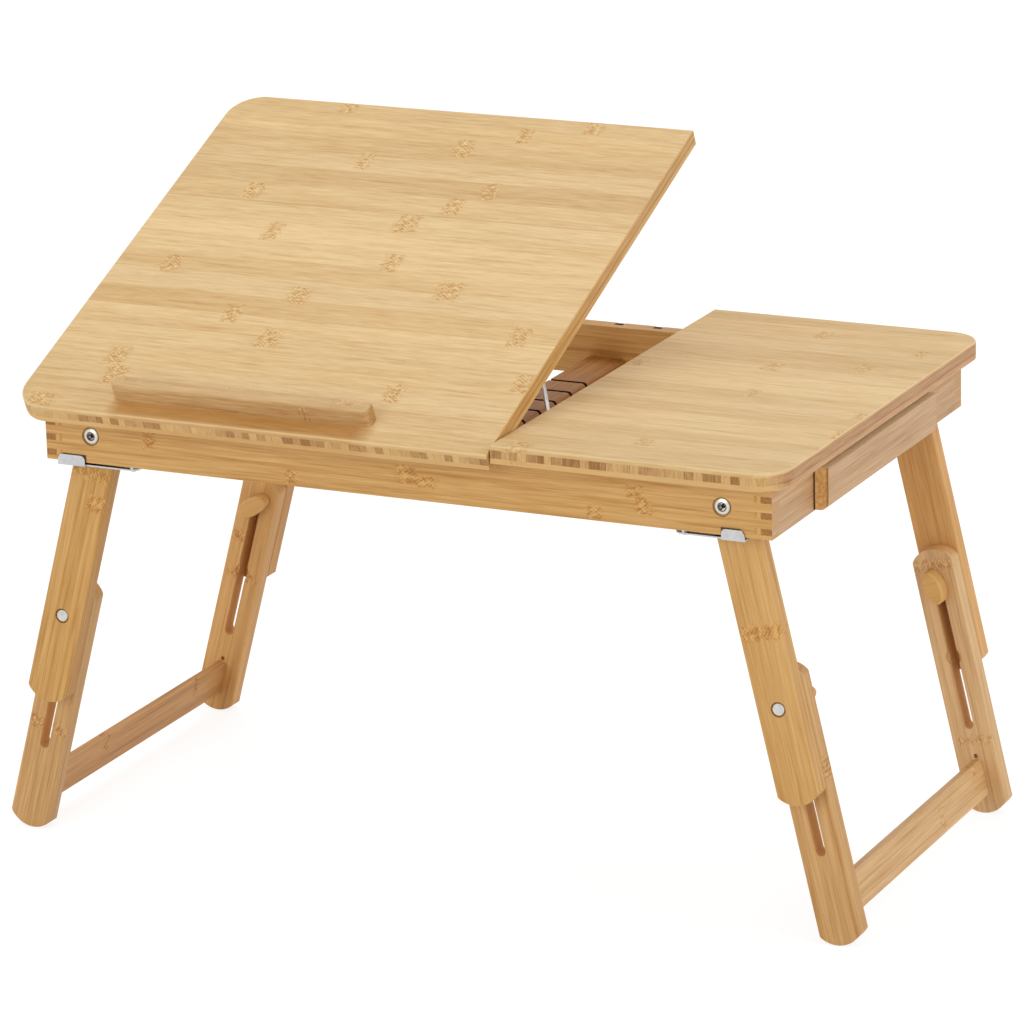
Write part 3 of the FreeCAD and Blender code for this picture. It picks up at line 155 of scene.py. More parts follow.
def shader_group(name, takes, gives):
    """A new node group with its named sockets, and the sockets that come into it."""
    made = bpy.data.node_groups.new(name, "ShaderNodeTree")
    for label, kind, value in takes:
        socket = made.interface.new_socket(label, in_out="INPUT", socket_type="NodeSocket" + kind)
        if value is not None:
            socket.default_value = value
    for label, kind in gives:
        made.interface.new_socket(label, in_out="OUTPUT", socket_type="NodeSocket" + kind)
    return made, add(made, "NodeGroupInput").outputs


def ramp(tree, value, low, high, smooth=False):
    """0 at low rising to 1 at high; it falls where low is the greater."""
    return add(tree, "ShaderNodeMapRange", {"Value": value, "From Min": low, "From Max": high},
               interpolation_type="SMOOTHSTEP" if smooth else "LINEAR").outputs[0]


def times(tree, *values):
    """All the values multiplied."""
    made = values[0]
    for value in values[1:]:
        made = calc(tree, "MULTIPLY", made, value)
    return made


def within(tree, value, rise, fall):
    """1 between two ramps, each given by where it starts and where it ends."""
    return times(tree, ramp(tree, value, *rise), ramp(tree, value, *fall))


def swing(tree, noise, amount, base=0.0, clamp=False):
    """The base plus a noise's departure from its middle of 0.5, times the amount."""
    return calc(tree, "MULTIPLY_ADD", calc(tree, "SUBTRACT", noise, 0.5), amount, base, clamp)


def apart(tree, vector):
    """The X, Y and Z of a point or a direction."""
    return add(tree, "ShaderNodeSeparateXYZ", {0: vector}).outputs


def picked(tree, number):
    """Three chance values, from 0 to 1, that belong to a number."""
    chance = add(tree, "ShaderNodeTexWhiteNoise", {"W": number}, noise_dimensions="1D").outputs["Color"]
    return add(tree, "ShaderNodeSeparateColor", {0: chance}).outputs


def noise(tree, point, scale, detail, rough=0.5):
    return add(tree, "ShaderNodeTexNoise", {"Vector": point, "Scale": scale, "Detail": detail,
                                            "Roughness": rough}).outputs


def blend(tree, share, first, second, kind="MIX"):
    return add(tree, "ShaderNodeMix", {0: share, 6: first, 7: second}, data_type="RGBA",
               blend_type=kind).outputs[2]


def drawn(tree, along, axes, per_metre, detail, rough=0.6):
    """Noise drawn out along the grain, from 0 to 1, with its counts per metre along and across."""
    point = add(tree, "ShaderNodeCombineXYZ", {0: times(tree, along, per_metre[0]),
                                               1: times(tree, axes["Y"], per_metre[1]),
                                               2: times(tree, axes["Z"], per_metre[1])}).outputs[0]
    return noise(tree, point, 1.0, detail, rough)[0]


glue_line = (0.0006, 0.0001)
fleck_rows = (1850.0, 2350.0)
bamboo, given = shader_group(
    "bamboo strips",
    (("Point", "Vector", None), ("Pale", "Color", (0.7, 0.5, 0.3, 1)),
     ("Deep", "Color", (0.5, 0.3, 0.1, 1)), ("Strip", "Float", 0.02), ("Tone", "Float", 0.3),
     ("Fibre", "Float", 1.0), ("Seam", "Float", 1.0), ("Knuckle", "Float", 0.0), ("Seed", "Float", 0.0),
     ("Short", "Float", 1.0)),
    (("Color", "Color"), ("Roughness", "Float"), ("Height", "Float")))
tree = bamboo
axes = apart(tree, given["Point"])
row = calc(tree, "ADD", calc(tree, "DIVIDE", axes["Y"], given["Strip"]), given["Seed"])
inside = calc(tree, "FRACT", row)
own = picked(tree, calc(tree, "FLOOR", row))
moved = calc(tree, "ADD", axes["X"], calc(tree, "MULTIPLY_ADD", own[0], 7.0, given["Seed"]))
shortened = times(tree, moved, given["Short"])
grain = drawn(tree, shortened, axes, (9.0, 380.0), 5.0, 0.62)
hair = drawn(tree, shortened, axes, (30.0, 860.0), 2.0)
cloud = drawn(tree, moved, axes, (2.4, 26.0), 2.0)
# A thin glue line shows at some of the joints between strips.
rim = times(tree, calc(tree, "MINIMUM", inside, calc(tree, "SUBTRACT", 1.0, inside)), given["Strip"])
joint = calc(tree, "FLOOR", calc(tree, "ADD", row, 0.5))
luck = add(tree, "ShaderNodeTexWhiteNoise", {"W": calc(tree, "ADD", joint, 0.37)},
           noise_dimensions="1D").outputs[0]
seam = times(tree, ramp(tree, rim, *glue_line), ramp(tree, luck, 0.3, 1.0), given["Seam"])
# Tone, fibres and seams together choose between the pale and the deep colour.
lines = calc(tree, "MULTIPLY_ADD", ramp(tree, grain, 0.58, 0.74), 0.30, swing(tree, grain, 1.25))
lines = swing(tree, hair, 1.0, lines)
total = calc(tree, "MULTIPLY_ADD", lines, given["Fibre"], swing(tree, own[2], given["Tone"], 0.44))
total = swing(tree, cloud, 0.7, total)
total = calc(tree, "MULTIPLY_ADD", seam, 0.55, total, clamp=True)
ground = blend(tree, total, given["Pale"], given["Deep"])
ground = blend(tree, own[1], ground, blend(tree, 1.0, ground, linear(250, 251, 255), "MULTIPLY"))
# Inside a knuckle the fibres cross: rows of dark and pale flecks on a slightly deeper ground.
fleck = drawn(tree, axes["X"], axes, (260.0, 420.0), 3.0, 0.7)
sway = times(tree, cloud, 9.0)
rows = times(tree, calc(tree, "SINE", calc(tree, "MULTIPLY_ADD", axes["X"], fleck_rows[0], sway)),
             calc(tree, "SINE", calc(tree, "MULTIPLY_ADD", axes["Y"], fleck_rows[1], sway)))
rows = calc(tree, "MULTIPLY_ADD", rows, 0.30, swing(tree, fleck, 4.0))
dark = times(tree, ramp(tree, rows, 0.04, 0.42), given["Knuckle"])
light = times(tree, ramp(tree, rows, -0.12, -0.42), given["Knuckle"])
burnt = blend(tree, 1.0, given["Deep"], linear(236, 206, 158), "MULTIPLY")
glint = blend(tree, 1.0, given["Pale"], linear(255, 252, 240), "MULTIPLY")
colour = blend(tree, times(tree, given["Knuckle"], 0.34), ground, given["Deep"])
colour = blend(tree, times(tree, dark, 0.78), colour, burnt)
colour = blend(tree, times(tree, light, 0.85), colour, glint)
rough = calc(tree, "MULTIPLY_ADD", given["Knuckle"], 0.05, 0.43)
rough = calc(tree, "MULTIPLY_ADD", grain, 0.10, rough)
height = calc(tree, "MULTIPLY_ADD", hair, 0.4, grain)
height = calc(tree, "SUBTRACT", height, times(tree, dark, 0.4))
height = calc(tree, "SUBTRACT", height, times(tree, seam, 0.5))
add(tree, "NodeGroupOutput", {"Color": colour, "Roughness": rough, "Height": height})

# One knuckle at a place of its own, joined to the knuckles before it.
knuckle, given = shader_group(
    "bamboo knuckle",
    (("Point", "Vector", None), ("Along", "Float", 0.0), ("Across", "Float", 0.0),
     ("Reach", "Float", 0.012), ("Width", "Float", 0.018), ("Before", "Float", 0.0)),
    (("Mark", "Float"),))
tree = knuckle
axes = apart(tree, given["Point"])
off = calc(tree, "ABSOLUTE", calc(tree, "SUBTRACT", axes["X"], given["Along"]))
half = times(tree, given["Reach"], 0.5)
length_mark = ramp(tree, off, half, times(tree, half, 0.35), True)
off = calc(tree, "ABSOLUTE", calc(tree, "SUBTRACT", axes["Y"], given["Across"]))
half = times(tree, given["Width"], 0.5)
width_mark = ramp(tree, off, half, calc(tree, "SUBTRACT", half, 0.0016), True)
mark = calc(tree, "MAXIMUM", given["Before"], times(tree, length_mark, width_mark))
add(tree, "NodeGroupOutput", {"Mark": mark})

# Knuckles strewn over the strips, at most one in each pitch of each strip.
strewn, given = shader_group(
    "strewn knuckles",
    (("Point", "Vector", None), ("Strip", "Float", 0.02), ("Pitch", "Float", 0.3), ("Chance", "Float", 0.5),
     ("Reach", "Float", 0.012), ("Seed", "Float", 0.0)),
    (("Mark", "Float"),))
tree = strewn
axes = apart(tree, given["Point"])
row = calc(tree, "FLOOR", calc(tree, "ADD", calc(tree, "DIVIDE", axes["Y"], given["Strip"]), given["Seed"]))
pick = picked(tree, calc(tree, "ADD", row, 0.71))
turns = calc(tree, "ADD", calc(tree, "DIVIDE", axes["X"], given["Pitch"]), times(tree, pick[0], 3.0))
away = calc(tree, "ABSOLUTE", calc(tree, "SUBTRACT", calc(tree, "FRACT", turns), 0.5))
away = times(tree, away, given["Pitch"])
half = times(tree, given["Reach"], 0.5)
mark = ramp(tree, away, half, times(tree, half, 0.35), True)
mark = times(tree, mark, calc(tree, "LESS_THAN", pick[1], given["Chance"]))
add(tree, "NodeGroupOutput", {"Mark": mark})

# How a surface faces in its piece's own axes: cut ends, side faces, upper face and rounded edges.
square_on = (0.55, 0.90)
facing, given = shader_group(
    "piece faces", (("Facing", "Vector", None),),
    (("End", "Float"), ("Side", "Float"), ("Upper", "Float"), ("Rounded", "Float")))
tree = facing
axes = apart(tree, given["Facing"])
ways = [calc(tree, "ABSOLUTE", axes[way]) for way in "XYZ"]
most = calc(tree, "MAXIMUM", calc(tree, "MAXIMUM", ways[0], ways[1]), ways[2])
add(tree, "NodeGroupOutput", {"End": ramp(tree, ways[0], *square_on),
                              "Side": ramp(tree, ways[1], *square_on),
                              "Upper": ramp(tree, axes["Z"], *square_on),
                              "Rounded": ramp(tree, most, 0.985, 0.80)})


def at_rest(tree):
    """A surface's X, Y and Z in the CAD's own frame, which stay with it when the piece moves."""
    return apart(tree, add(tree, "ShaderNodeTexCoord").outputs["Object"])


def in_piece(tree, origin, grain, across):
    """A surface's point and facing in a piece's own axes: X along the grain, Y across the strips."""
    along = Vector(grain).normalized()
    side = (Vector(across) - Vector(across).dot(along) * along).normalized()
    turn = Matrix((along, side, along.cross(side))).transposed().to_euler("XYZ")
    coordinate = add(tree, "ShaderNodeTexCoord").outputs
    point = add(tree, "ShaderNodeMapping", {"Vector": coordinate["Object"], "Location": origin,
                                            "Rotation": turn}, vector_type="TEXTURE").outputs[0]
    way = add(tree, "ShaderNodeMapping", {"Vector": coordinate["Normal"], "Rotation": turn},
              vector_type="TEXTURE").outputs[0]
    return point, add(tree, "ShaderNodeGroup", {"Facing": way}, node_tree=facing).outputs


def placed_knuckles(tree, point, spots, before=0.0):
    """Marks knuckles at chosen places; each spot is along, across, reach and width in millimetres."""
    frayed = noise(tree, point, 330.0, 2.0)["Color"]
    frayed = add(tree, "ShaderNodeVectorMath", {0: frayed, 1: (0.5, 0.5, 0.5)}, operation="SUBTRACT")
    frayed = add(tree, "ShaderNodeVectorMath", {0: frayed.outputs[0], 1: (0.011, 0.005, 0.0), 2: point},
                 operation="MULTIPLY_ADD").outputs[0]
    mark = before
    for along, across, reach, width in spots:
        mark = add(tree, "ShaderNodeGroup", {
            "Point": frayed, "Along": along / 1000, "Across": across / 1000, "Reach": reach / 1000,
            "Width": width / 1000, "Before": mark}, node_tree=knuckle).outputs[0]
    return mark


def strewn_knuckles(tree, point, strip, seed, chance=0.5):
    return add(tree, "ShaderNodeGroup", {"Point": point, "Strip": strip, "Chance": chance, "Seed": seed},
               node_tree=strewn).outputs[0]


def bamboo_face(tree, point, pale, deep, strip, seed, mark=0.0, tone=0.3, fibre=1.0, seam=1.0, short=1.0):
    """The strips' colour, roughness and height. tone, fibre and seam weigh what tells strips apart, and a
    greater short gives shorter fibres."""
    return add(tree, "ShaderNodeGroup", {
        "Point": point, "Pale": pale, "Deep": deep, "Strip": strip, "Seed": seed, "Knuckle": mark,
        "Tone": tone, "Fibre": fibre, "Seam": seam, "Short": short}, node_tree=bamboo).outputs


def lacquer(tree, colour, rough, height):
    """Clear satin lacquer over wood, which leaves the grain just to be felt."""
    bump = add(tree, "ShaderNodeBump", {"Height": height, "Distance": 0.00005, "Strength": 0.5})
    shader = add(tree, "ShaderNodeBsdfPrincipled", {"Base Color": colour, "Roughness": rough,
                                                    "Normal": bump.outputs[0], "IOR": 1.45,
                                                    "Specular IOR Level": 0.3})
    add(tree, "ShaderNodeOutputMaterial", {"Surface": shader.outputs[0]})


def finish_with(material, *nodes):
    """Gives CAD pieces their finish."""
    for node in nodes:
        mesh = frame["nodes"][node].data
        mesh.materials.clear()
        mesh.materials.append(material)


def wood(name, origin, grain, across, pale, deep, strip, seed, spots=(), strew=0.5, end=0.5, sheen=0.35,
         stain_and_painted_light=None, **more):
    """Lacquered bamboo for one piece. end darkens its cut ends, the share after it paints a highlight on
    its rounded edges, and the function after that gives a mask and a colour for painted light and shade and
    for cut faces."""
    made, tree = blank_material(name)
    point, faces = in_piece(tree, origin, grain, across)
    mark = strewn_knuckles(tree, point, strip, seed, strew) if strew else 0.0
    if spots:
        mark = placed_knuckles(tree, point, spots, mark)
    outs = bamboo_face(tree, point, pale, deep, strip, seed, mark, **more)
    cut = blend(tree, 1.0, outs["Color"], linear(214, 190, 160), "MULTIPLY")
    colour = blend(tree, times(tree, faces["End"], end), outs["Color"], cut)
    # A painted highlight: rounded edges are painted halfway to the pale colour.
    painted_light = blend(tree, 0.5, outs["Color"], pale)
    colour = blend(tree, times(tree, faces["Rounded"], sheen), colour, painted_light)
    rough = outs["Roughness"]
    if stain_and_painted_light:
        share, tint = stain_and_painted_light(tree, point, faces)
        colour = blend(tree, share, colour, tint)
        rough = calc(tree, "MULTIPLY_ADD", share, 0.4, rough, clamp=True)
    lacquer(tree, colour, rough, outs["Height"])
    return made


# ---- Boards ---------------------------------------------------------------------------------------------
# Two three-ply bamboo boards, 12 mm thick. The face plies run lengthwise and the core runs front to back:
# its end grain shows as a row of small blocks along the front edge, its long grain as a streaked band on
# the side edges.

joints = {joint["name"]: joint for joint in frame["joints"]}
hinge_line = joints["top_tilt"]["pos_m"]
tilt = math.radians(22.8)
up_slope = (0, math.cos(tilt), math.sin(tilt))
board_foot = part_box("fixed_top")[0].z
board_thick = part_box("fixed_top")[1].z - board_foot
board_strip = 0.0205
core_foot = 0.0035
core_top = 0.0088
core_glue = 0.0002
lower_tone = (0.0095, 0.0070)
lit_rim = (0.0095, 0.0105)
ledge_shadow_across = ((-0.0195, -0.0080), (0.005, 0.003))
ledge_shadow_along = ((-0.206, -0.196), (-0.010, -0.024))
blocks_per_metre = 165.0
side_layers = ((0.0, 0.80), (0.12, 0.72), (0.30, 0.55), (0.36, 0.0), (0.44, 0.42), (0.68, 0.52),
               (0.74, 0.22), (0.86, 0.62), (0.93, 1.0))


def stretched(tree, point, per_metre):
    """Noise with its own counts per metre along, across and through a piece."""
    point = add(tree, "ShaderNodeVectorMath", {0: point, 1: per_metre}, operation="MULTIPLY").outputs[0]
    return noise(tree, point, 1.0, 3.0, 0.6)[0]


def bands(tree, value, stops):
    """A colour ramp with the given places and colours."""
    made = add(tree, "ShaderNodeValToRGB", {0: value})
    elements = made.color_ramp.elements
    for index, (place, colour) in enumerate(stops):
        stop = elements[index] if index < 2 else elements.new(place)
        stop.position = place
        stop.color = colour
    return made.outputs[0]


def core_blocks(tree, point, spot, seed, blocky):
    """The core's end grain: blocks of uneven width and tone, with a crack between some of them."""
    cells = {"W": calc(tree, "ADD", spot["X"], seed), "Scale": blocks_per_metre, "Randomness": 0.85}
    cell = add(tree, "ShaderNodeTexVoronoi", cells, voronoi_dimensions="1D").outputs["Color"]
    pick = add(tree, "ShaderNodeSeparateColor", {0: cell}).outputs
    crack = add(tree, "ShaderNodeTexVoronoi", cells, voronoi_dimensions="1D",
                feature="DISTANCE_TO_EDGE").outputs["Distance"]
    crack = times(tree, ramp(tree, crack, 0.080, 0.02), pick[1])
    pores = stretched(tree, point, (1100.0, 400.0, 160.0))
    place = calc(tree, "MULTIPLY_ADD", spot["X"], 11.0, seed * 1.7)
    drift = add(tree, "ShaderNodeTexNoise", {"W": place, "Scale": 1.0, "Detail": 1.0},
                noise_dimensions="1D").outputs[0]
    shade = calc(tree, "MULTIPLY_ADD", calc(tree, "POWER", pick[0], 1.4), 0.85, 0.10)
    shade = swing(tree, pores, 1.3, shade)
    shade = calc(tree, "MULTIPLY_ADD", calc(tree, "SUBTRACT", drift, 0.44), 1.2, shade)
    shade = calc(tree, "MULTIPLY", calc(tree, "MULTIPLY_ADD", crack, 0.5, shade), blocky, clamp=True)
    return blend(tree, shade, linear(216, 176, 116), linear(150, 102, 54))


def board(name, origin, back, seed, spots, pale, deep, edge_pale, edge_deep, blocky, ledge_shadow=0.0):
    """Three-ply finish; origin is a point of the board's underside, back is the way its depth runs. blocky
    weighs how dark the core's blocks are, and the last argument weighs a painted shadow in front of the
    ledge."""
    made, tree = blank_material(name)
    point, faces = in_piece(tree, origin, (1, 0, 0), back)
    spot = apart(tree, point)
    under = ramp(tree, spot["Z"], board_thick / 2, board_thick / 2 - 0.001)
    scattered = times(tree, strewn_knuckles(tree, point, board_strip, seed + 40.0), under)
    mark = placed_knuckles(tree, point, spots, scattered)
    mark = times(tree, mark, calc(tree, "SUBTRACT", 1.0, faces["End"]))
    shown = calc(tree, "MULTIPLY_ADD", under, 3.7, seed)
    face = bamboo_face(tree, point, pale, deep, board_strip, shown, mark, tone=0.36, fibre=0.85, short=2.4)
    colour = face["Color"]
    if ledge_shadow:
        # A painted shadow: the board is painted deeper and more orange from the ledge's foot to the front
        # edge.
        shadow_band = within(tree, spot["Y"], *ledge_shadow_across)
        ends = within(tree, spot["X"], *ledge_shadow_along)
        shadowed = blend(tree, 1.0, colour, linear(226, 196, 150), "MULTIPLY")
        colour = blend(tree, times(tree, shadow_band, ends, ledge_shadow), colour, shadowed)
    # Front and back edges: the core's blocks between the two plies.
    band = within(tree, spot["Z"], (core_foot - core_glue, core_foot + core_glue),
                  (core_top + core_glue, core_top - core_glue))
    lower_ply = times(tree, ramp(tree, spot["Z"], *lower_tone), faces["Side"])
    colour = blend(tree, times(tree, lower_ply, 0.6), colour, linear(206, 159, 94))
    blocks = core_blocks(tree, point, spot, seed, blocky)
    colour = blend(tree, times(tree, band, faces["Side"]), colour, blocks)
    # Side edges: the core's long grain, a streaked band with a darker line under its middle.
    streaks = stretched(tree, point, (900.0, 34.0, 900.0))
    layers = bands(tree, times(tree, spot["Z"], 1 / board_thick),
                   [(place, (grey, grey, grey, 1.0)) for place, grey in side_layers])
    long_edge = blend(tree, swing(tree, streaks, 1.5, layers, clamp=True), edge_deep, edge_pale)
    colour = blend(tree, times(tree, faces["End"], 0.95), colour, long_edge)
    # A painted highlight: the rounded top edges are painted paler.
    lit = times(tree, faces["Rounded"], ramp(tree, spot["Z"], *lit_rim))
    colour = blend(tree, times(tree, lit, 0.4), colour, linear(246, 218, 170))
    lacquer(tree, colour, face["Roughness"], face["Height"])
    return made


tilt_spots = (
    (-185, 339, 17, 18), (-43, 323, 13, 20), (3, 340, 18, 21), (-81, 303, 18, 21), (-146, 280, 13, 20),
    (-212, 237, 20, 21), (-41, 258, 16, 21), (-60, 238, 17, 20), (-85, 215, 23, 21), (-177, 194, 16, 21),
    (-233, 150, 21, 19), (-77, 172, 17, 21), (-23, 147, 25, 21), (-126, 128, 21, 20), (-164, 103, 17, 21),
    (-126, 81, 22, 21), (45, 107, 20, 22), (-224, 48, 20, 21), (-216, 28, 22, 21), (-15, 38, 18, 20),
    (-255, -4, 26, 15), (68, 60, 18, 21))
finish_with(board("tilting board", hinge_line, up_slope, seed=3.0, spots=tilt_spots,
                  pale=linear(236, 205, 152), deep=linear(200, 158, 98),
                  edge_pale=linear(226, 184, 120), edge_deep=linear(172, 122, 58),
                  blocky=0.85, ledge_shadow=0.85), "tilt_top")
fixed_spots = (
    (92, -172, 22, 16), (162, -138, 15, 19), (271, -81, 11, 19), (227, 72, 15, 20), (249, 115, 12, 18),
    (169, 54, 16, 20), (170, 140, 14, 20), (181, -10, 12, 20), (80, 32, 14, 18), (268, -38, 12, 16))
finish_with(board("fixed board", (0, 0, board_foot), (0, 1, 0), seed=11.3, spots=fixed_spots,
                  pale=linear(231, 200, 146), deep=linear(195, 153, 90),
                  edge_pale=linear(210, 164, 116), edge_deep=linear(154, 106, 66), blocky=1.0), "fixed_top")


# ---- Ledge ----------------------------------------------------------------------------------------------
# A rounded bamboo strip that stops a laptop from sliding off the tilting board. It is glued into a shallow
# housing near the board's front edge, and its top is painted paler than its face as a painted highlight.

ledge_spots = ((-61, -3, 11, 12), (-190, 11, 22, 9), (-34, 9, 34, 7), (-110, 12, 40, 5))


# A painted highlight on the ledge's upward faces.
def painted_top_highlight(tree, point, faces):
    return times(tree, faces["Upper"], 0.28), linear(240, 212, 164)


finish_with(wood("ledge bamboo", hinge_line, (1, 0, 0), up_slope, linear(216, 178, 124),
                 linear(172, 124, 70), strip=0.022, seed=2.4, spots=ledge_spots, strew=0.0, end=0.3,
                 fibre=1.1, short=2.0, stain_and_painted_light=painted_top_highlight), "ledge")


# ---- Box frame ------------------------------------------------------------------------------------------
# Four bamboo rails with glued finger joints at the corners: the side rails' fingers pass through the front
# and back rails. The notched brace between the long rails holds the prop in one of its five saw kerfs.

rail_low, rail_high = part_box("front_rail")
rail_foot = (0, 0, rail_low.z)
rail_strip = 0.0175
latch_tabs = ((-0.2516, -0.2299), (0.2251, 0.2385))
tab_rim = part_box("latch_left")[1].z + 0.0006
finger_depth = 0.0075
tick_from = 0.0100
tick_to = 0.0120
brace_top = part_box("notched_bar")[1].z
kerf_rim = 0.004


def front_ends(tree, point, faces):
    """The long rails' fingers end on the side faces, a little pinker than the rails' fronts. A painted
    shadow darkens the rail's face behind the latches' tabs, a dark line round them."""
    spot = at_rest(tree)
    tab_shadow = 0.0
    for first, last in latch_tabs:
        across = times(tree, calc(tree, "GREATER_THAN", spot["X"], first),
                       calc(tree, "LESS_THAN", spot["X"], last))
        tab_shadow = calc(tree, "MAXIMUM", tab_shadow, across)
    tab_shadow = times(tree, tab_shadow, calc(tree, "LESS_THAN", spot["Y"], rail_low.y + 0.0005),
                   calc(tree, "LESS_THAN", spot["Z"], tab_rim))
    share = calc(tree, "MAXIMUM", times(tree, faces["End"], 0.8), times(tree, tab_shadow, 0.85))
    return share, blend(tree, tab_shadow, linear(200, 160, 118), linear(64, 40, 24))


def finger_ends(tree, point, faces):
    """The side rails' fingers come through the long rails: brown end grain at the corner, and a brown tick
    where the glue line ends."""
    inward = calc(tree, "SUBTRACT", rail_high.x, calc(tree, "ABSOLUTE", at_rest(tree)["X"]))
    pores = noise(tree, point, 800.0, 3.0)[0]
    share = times(tree, ramp(tree, inward, finger_depth + 0.0005, finger_depth - 0.0005), 0.72)
    tick = within(tree, inward, (tick_from - 0.0002, tick_from + 0.0002),
                  (tick_to + 0.0002, tick_to - 0.0002))
    share = calc(tree, "MULTIPLY_ADD", tick, 0.34, share)
    share = swing(tree, pores, 0.9, share, clamp=True)
    return faces["End"], blend(tree, share, linear(212, 166, 102), linear(138, 88, 42))


def kerf_shade(tree, point, faces):
    """The walls and floors of the saw kerfs across the brace, and its cut ends, are painted nearly black as
    shade.
    """
    rim = brace_top - kerf_rim
    low = times(tree, faces["Upper"], ramp(tree, at_rest(tree)["Z"], rim + 0.0005, rim - 0.0005))
    return calc(tree, "MAXIMUM", faces["End"], low), linear(58, 30, 18)


caramel = (linear(220, 176, 112), linear(182, 131, 66))
shade_tan = (linear(210, 172, 130), linear(172, 128, 84))
front_spots = ((-182, 20, 13, 13), (-77, 6, 12, 10), (6, 17, 20, 13), (18, 13, 26, 9), (173, 13, 17, 12),
               (166, 22, 14, 9), (138, 5, 16, 9))
right_spots = ((35, 18, 14, 12),)
finish_with(wood("front rail bamboo", rail_foot, (1, 0, 0), (0, 0, 1), *caramel, strip=rail_strip,
                 seed=5.0, spots=front_spots, strew=0.0, fibre=1.25, stain_and_painted_light=front_ends, end=0.2),
            "front_rail")
finish_with(wood("back rail bamboo", rail_foot, (1, 0, 0), (0, 0, 1), *caramel, strip=rail_strip,
                 seed=17.0, fibre=1.25, stain_and_painted_light=front_ends, end=0.2), "back_rail")
finish_with(wood("left rail bamboo", rail_foot, (0, 1, 0), (0, 0, 1), *caramel, strip=rail_strip,
                 seed=23.0, fibre=1.2, stain_and_painted_light=finger_ends, end=0.0), "left_rail")
finish_with(wood("right rail bamboo", rail_foot, (0, 1, 0), (0, 0, 1), *shade_tan, strip=rail_strip,
                 seed=31.0, spots=right_spots, strew=0.0, fibre=1.1, stain_and_painted_light=finger_ends, end=0.0),
            "right_rail")
finish_with(wood("brace bamboo", rail_foot, (0, 1, 0), (1, 0, 0), linear(190, 139, 82),
                 linear(144, 94, 46), strip=0.009, seed=7.0, strew=0.0, stain_and_painted_light=kerf_shade, end=0.0),
            "notched_bar")


# ---- Notch keys -----------------------------------------------------------------------------------------
# Two small dark keys of bamboo, glued into the notches in the top of the back rail. Each is a
# block with eased edges and a slightly hollow top, set just below the rail's own.

key_size = Vector((0.0063, 0.0058, 0.0047))
key_edge = 0.0005
key_hollow = 0.0003
key_margin = 0.0012
key_inset = 0.0001
key_drop = 0.0002
back_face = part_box("back_rail")[1].y
key_back = back_face - key_inset - key_size.y / 2
key_up = rail_high.z - key_drop - key_size.z / 2

dark_key_paint, tree = blank_material("dark key")
point, faces = in_piece(tree, (0, 0, rail_high.z), (0, 1, 0), (1, 0, 0))
outs = bamboo_face(tree, point, linear(82, 72, 56), linear(50, 42, 30), strip=0.004, seed=3.0, seam=0.4)
shader = add(tree, "ShaderNodeBsdfPrincipled", {"Base Color": outs["Color"], "Roughness": 0.9,
                                                "Specular IOR Level": 0.05})
add(tree, "ShaderNodeOutputMaterial", {"Surface": shader.outputs[0]})
for name, middle in (("notch_key_left", 0.0095), ("notch_key_right", 0.0385)):
    shape = bmesh.new()
    bmesh.ops.create_cube(shape, size=1.0)
    bmesh.ops.scale(shape, vec=key_size, verts=shape.verts)
    bmesh.ops.bevel(shape, geom=list(shape.edges), offset=key_edge, segments=3, profile=0.6, affect="EDGES")
    top = max(shape.faces, key=lambda face: face.normal.z * face.calc_area())
    bmesh.ops.inset_individual(shape, faces=[top], thickness=key_margin, depth=0.0)
    bmesh.ops.translate(shape, vec=(0, 0, -key_hollow), verts=top.verts)
    bmesh.ops.translate(shape, vec=(middle, key_back, key_up), verts=shape.verts)
    # The inset leaves the faces round the hollow in no fixed order, so all are put in order of place.
    order = sorted(shape.faces, key=lambda face: face.calc_center_median()[:])
    shape.faces.sort(key=order.index)
    mesh = bpy.data.meshes.new(name)
    shape.to_mesh(mesh)
    shape.free()
    mesh.materials.append(dark_key_paint)
    key = bpy.data.objects.new(name, mesh)
    bpy.context.scene.collection.objects.link(key)
    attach(key, "base")


# ---- Drawer ---------------------------------------------------------------------------------------------
# A tray whose front board covers the opening in the right rail. Its grooved sides run on the tongues of
# two guides under the fixed board, and one wall closes the bay at its inner end.

shut_low, shut_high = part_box("drawer_front")
shut_middle = (shut_low.x + shut_high.x) / 2
outer_edge = (shut_high.x - 0.00225, shut_high.x - 0.00045)
joint_edge = (shut_low.x + 0.00115, shut_low.x + 0.00055)
inner_half = (shut_middle + 0.00045, shut_middle - 0.00155)
top_face = (shut_high.z - 0.0032, shut_high.z - 0.0012)


def drawer_ends(tree, point, faces):
    """The drawer front's cut ends are yellower and darker at their outer edge, with painted shade along the
    gap at the rail. Its top face has painted light on the outer half and a painted line of shade on the
    inner half."""
    spot = at_rest(tree)
    pores = noise(tree, point, 420.0, 3.0)[0]
    cut = blend(tree, ramp(tree, pores, 0.35, 0.65), linear(238, 196, 132), linear(210, 160, 96))
    cut = blend(tree, ramp(tree, spot["X"], *outer_edge), cut, linear(178, 122, 62))
    cut = blend(tree, ramp(tree, spot["X"], *joint_edge), cut, linear(66, 34, 14))
    painted_light = blend(tree, ramp(tree, spot["X"], *inner_half), linear(244, 216, 178), linear(146, 100, 58))
    top = times(tree, faces["Side"], ramp(tree, spot["Z"], *top_face))
    return calc(tree, "MAXIMUM", faces["End"], top), blend(tree, faces["End"], painted_light, cut)


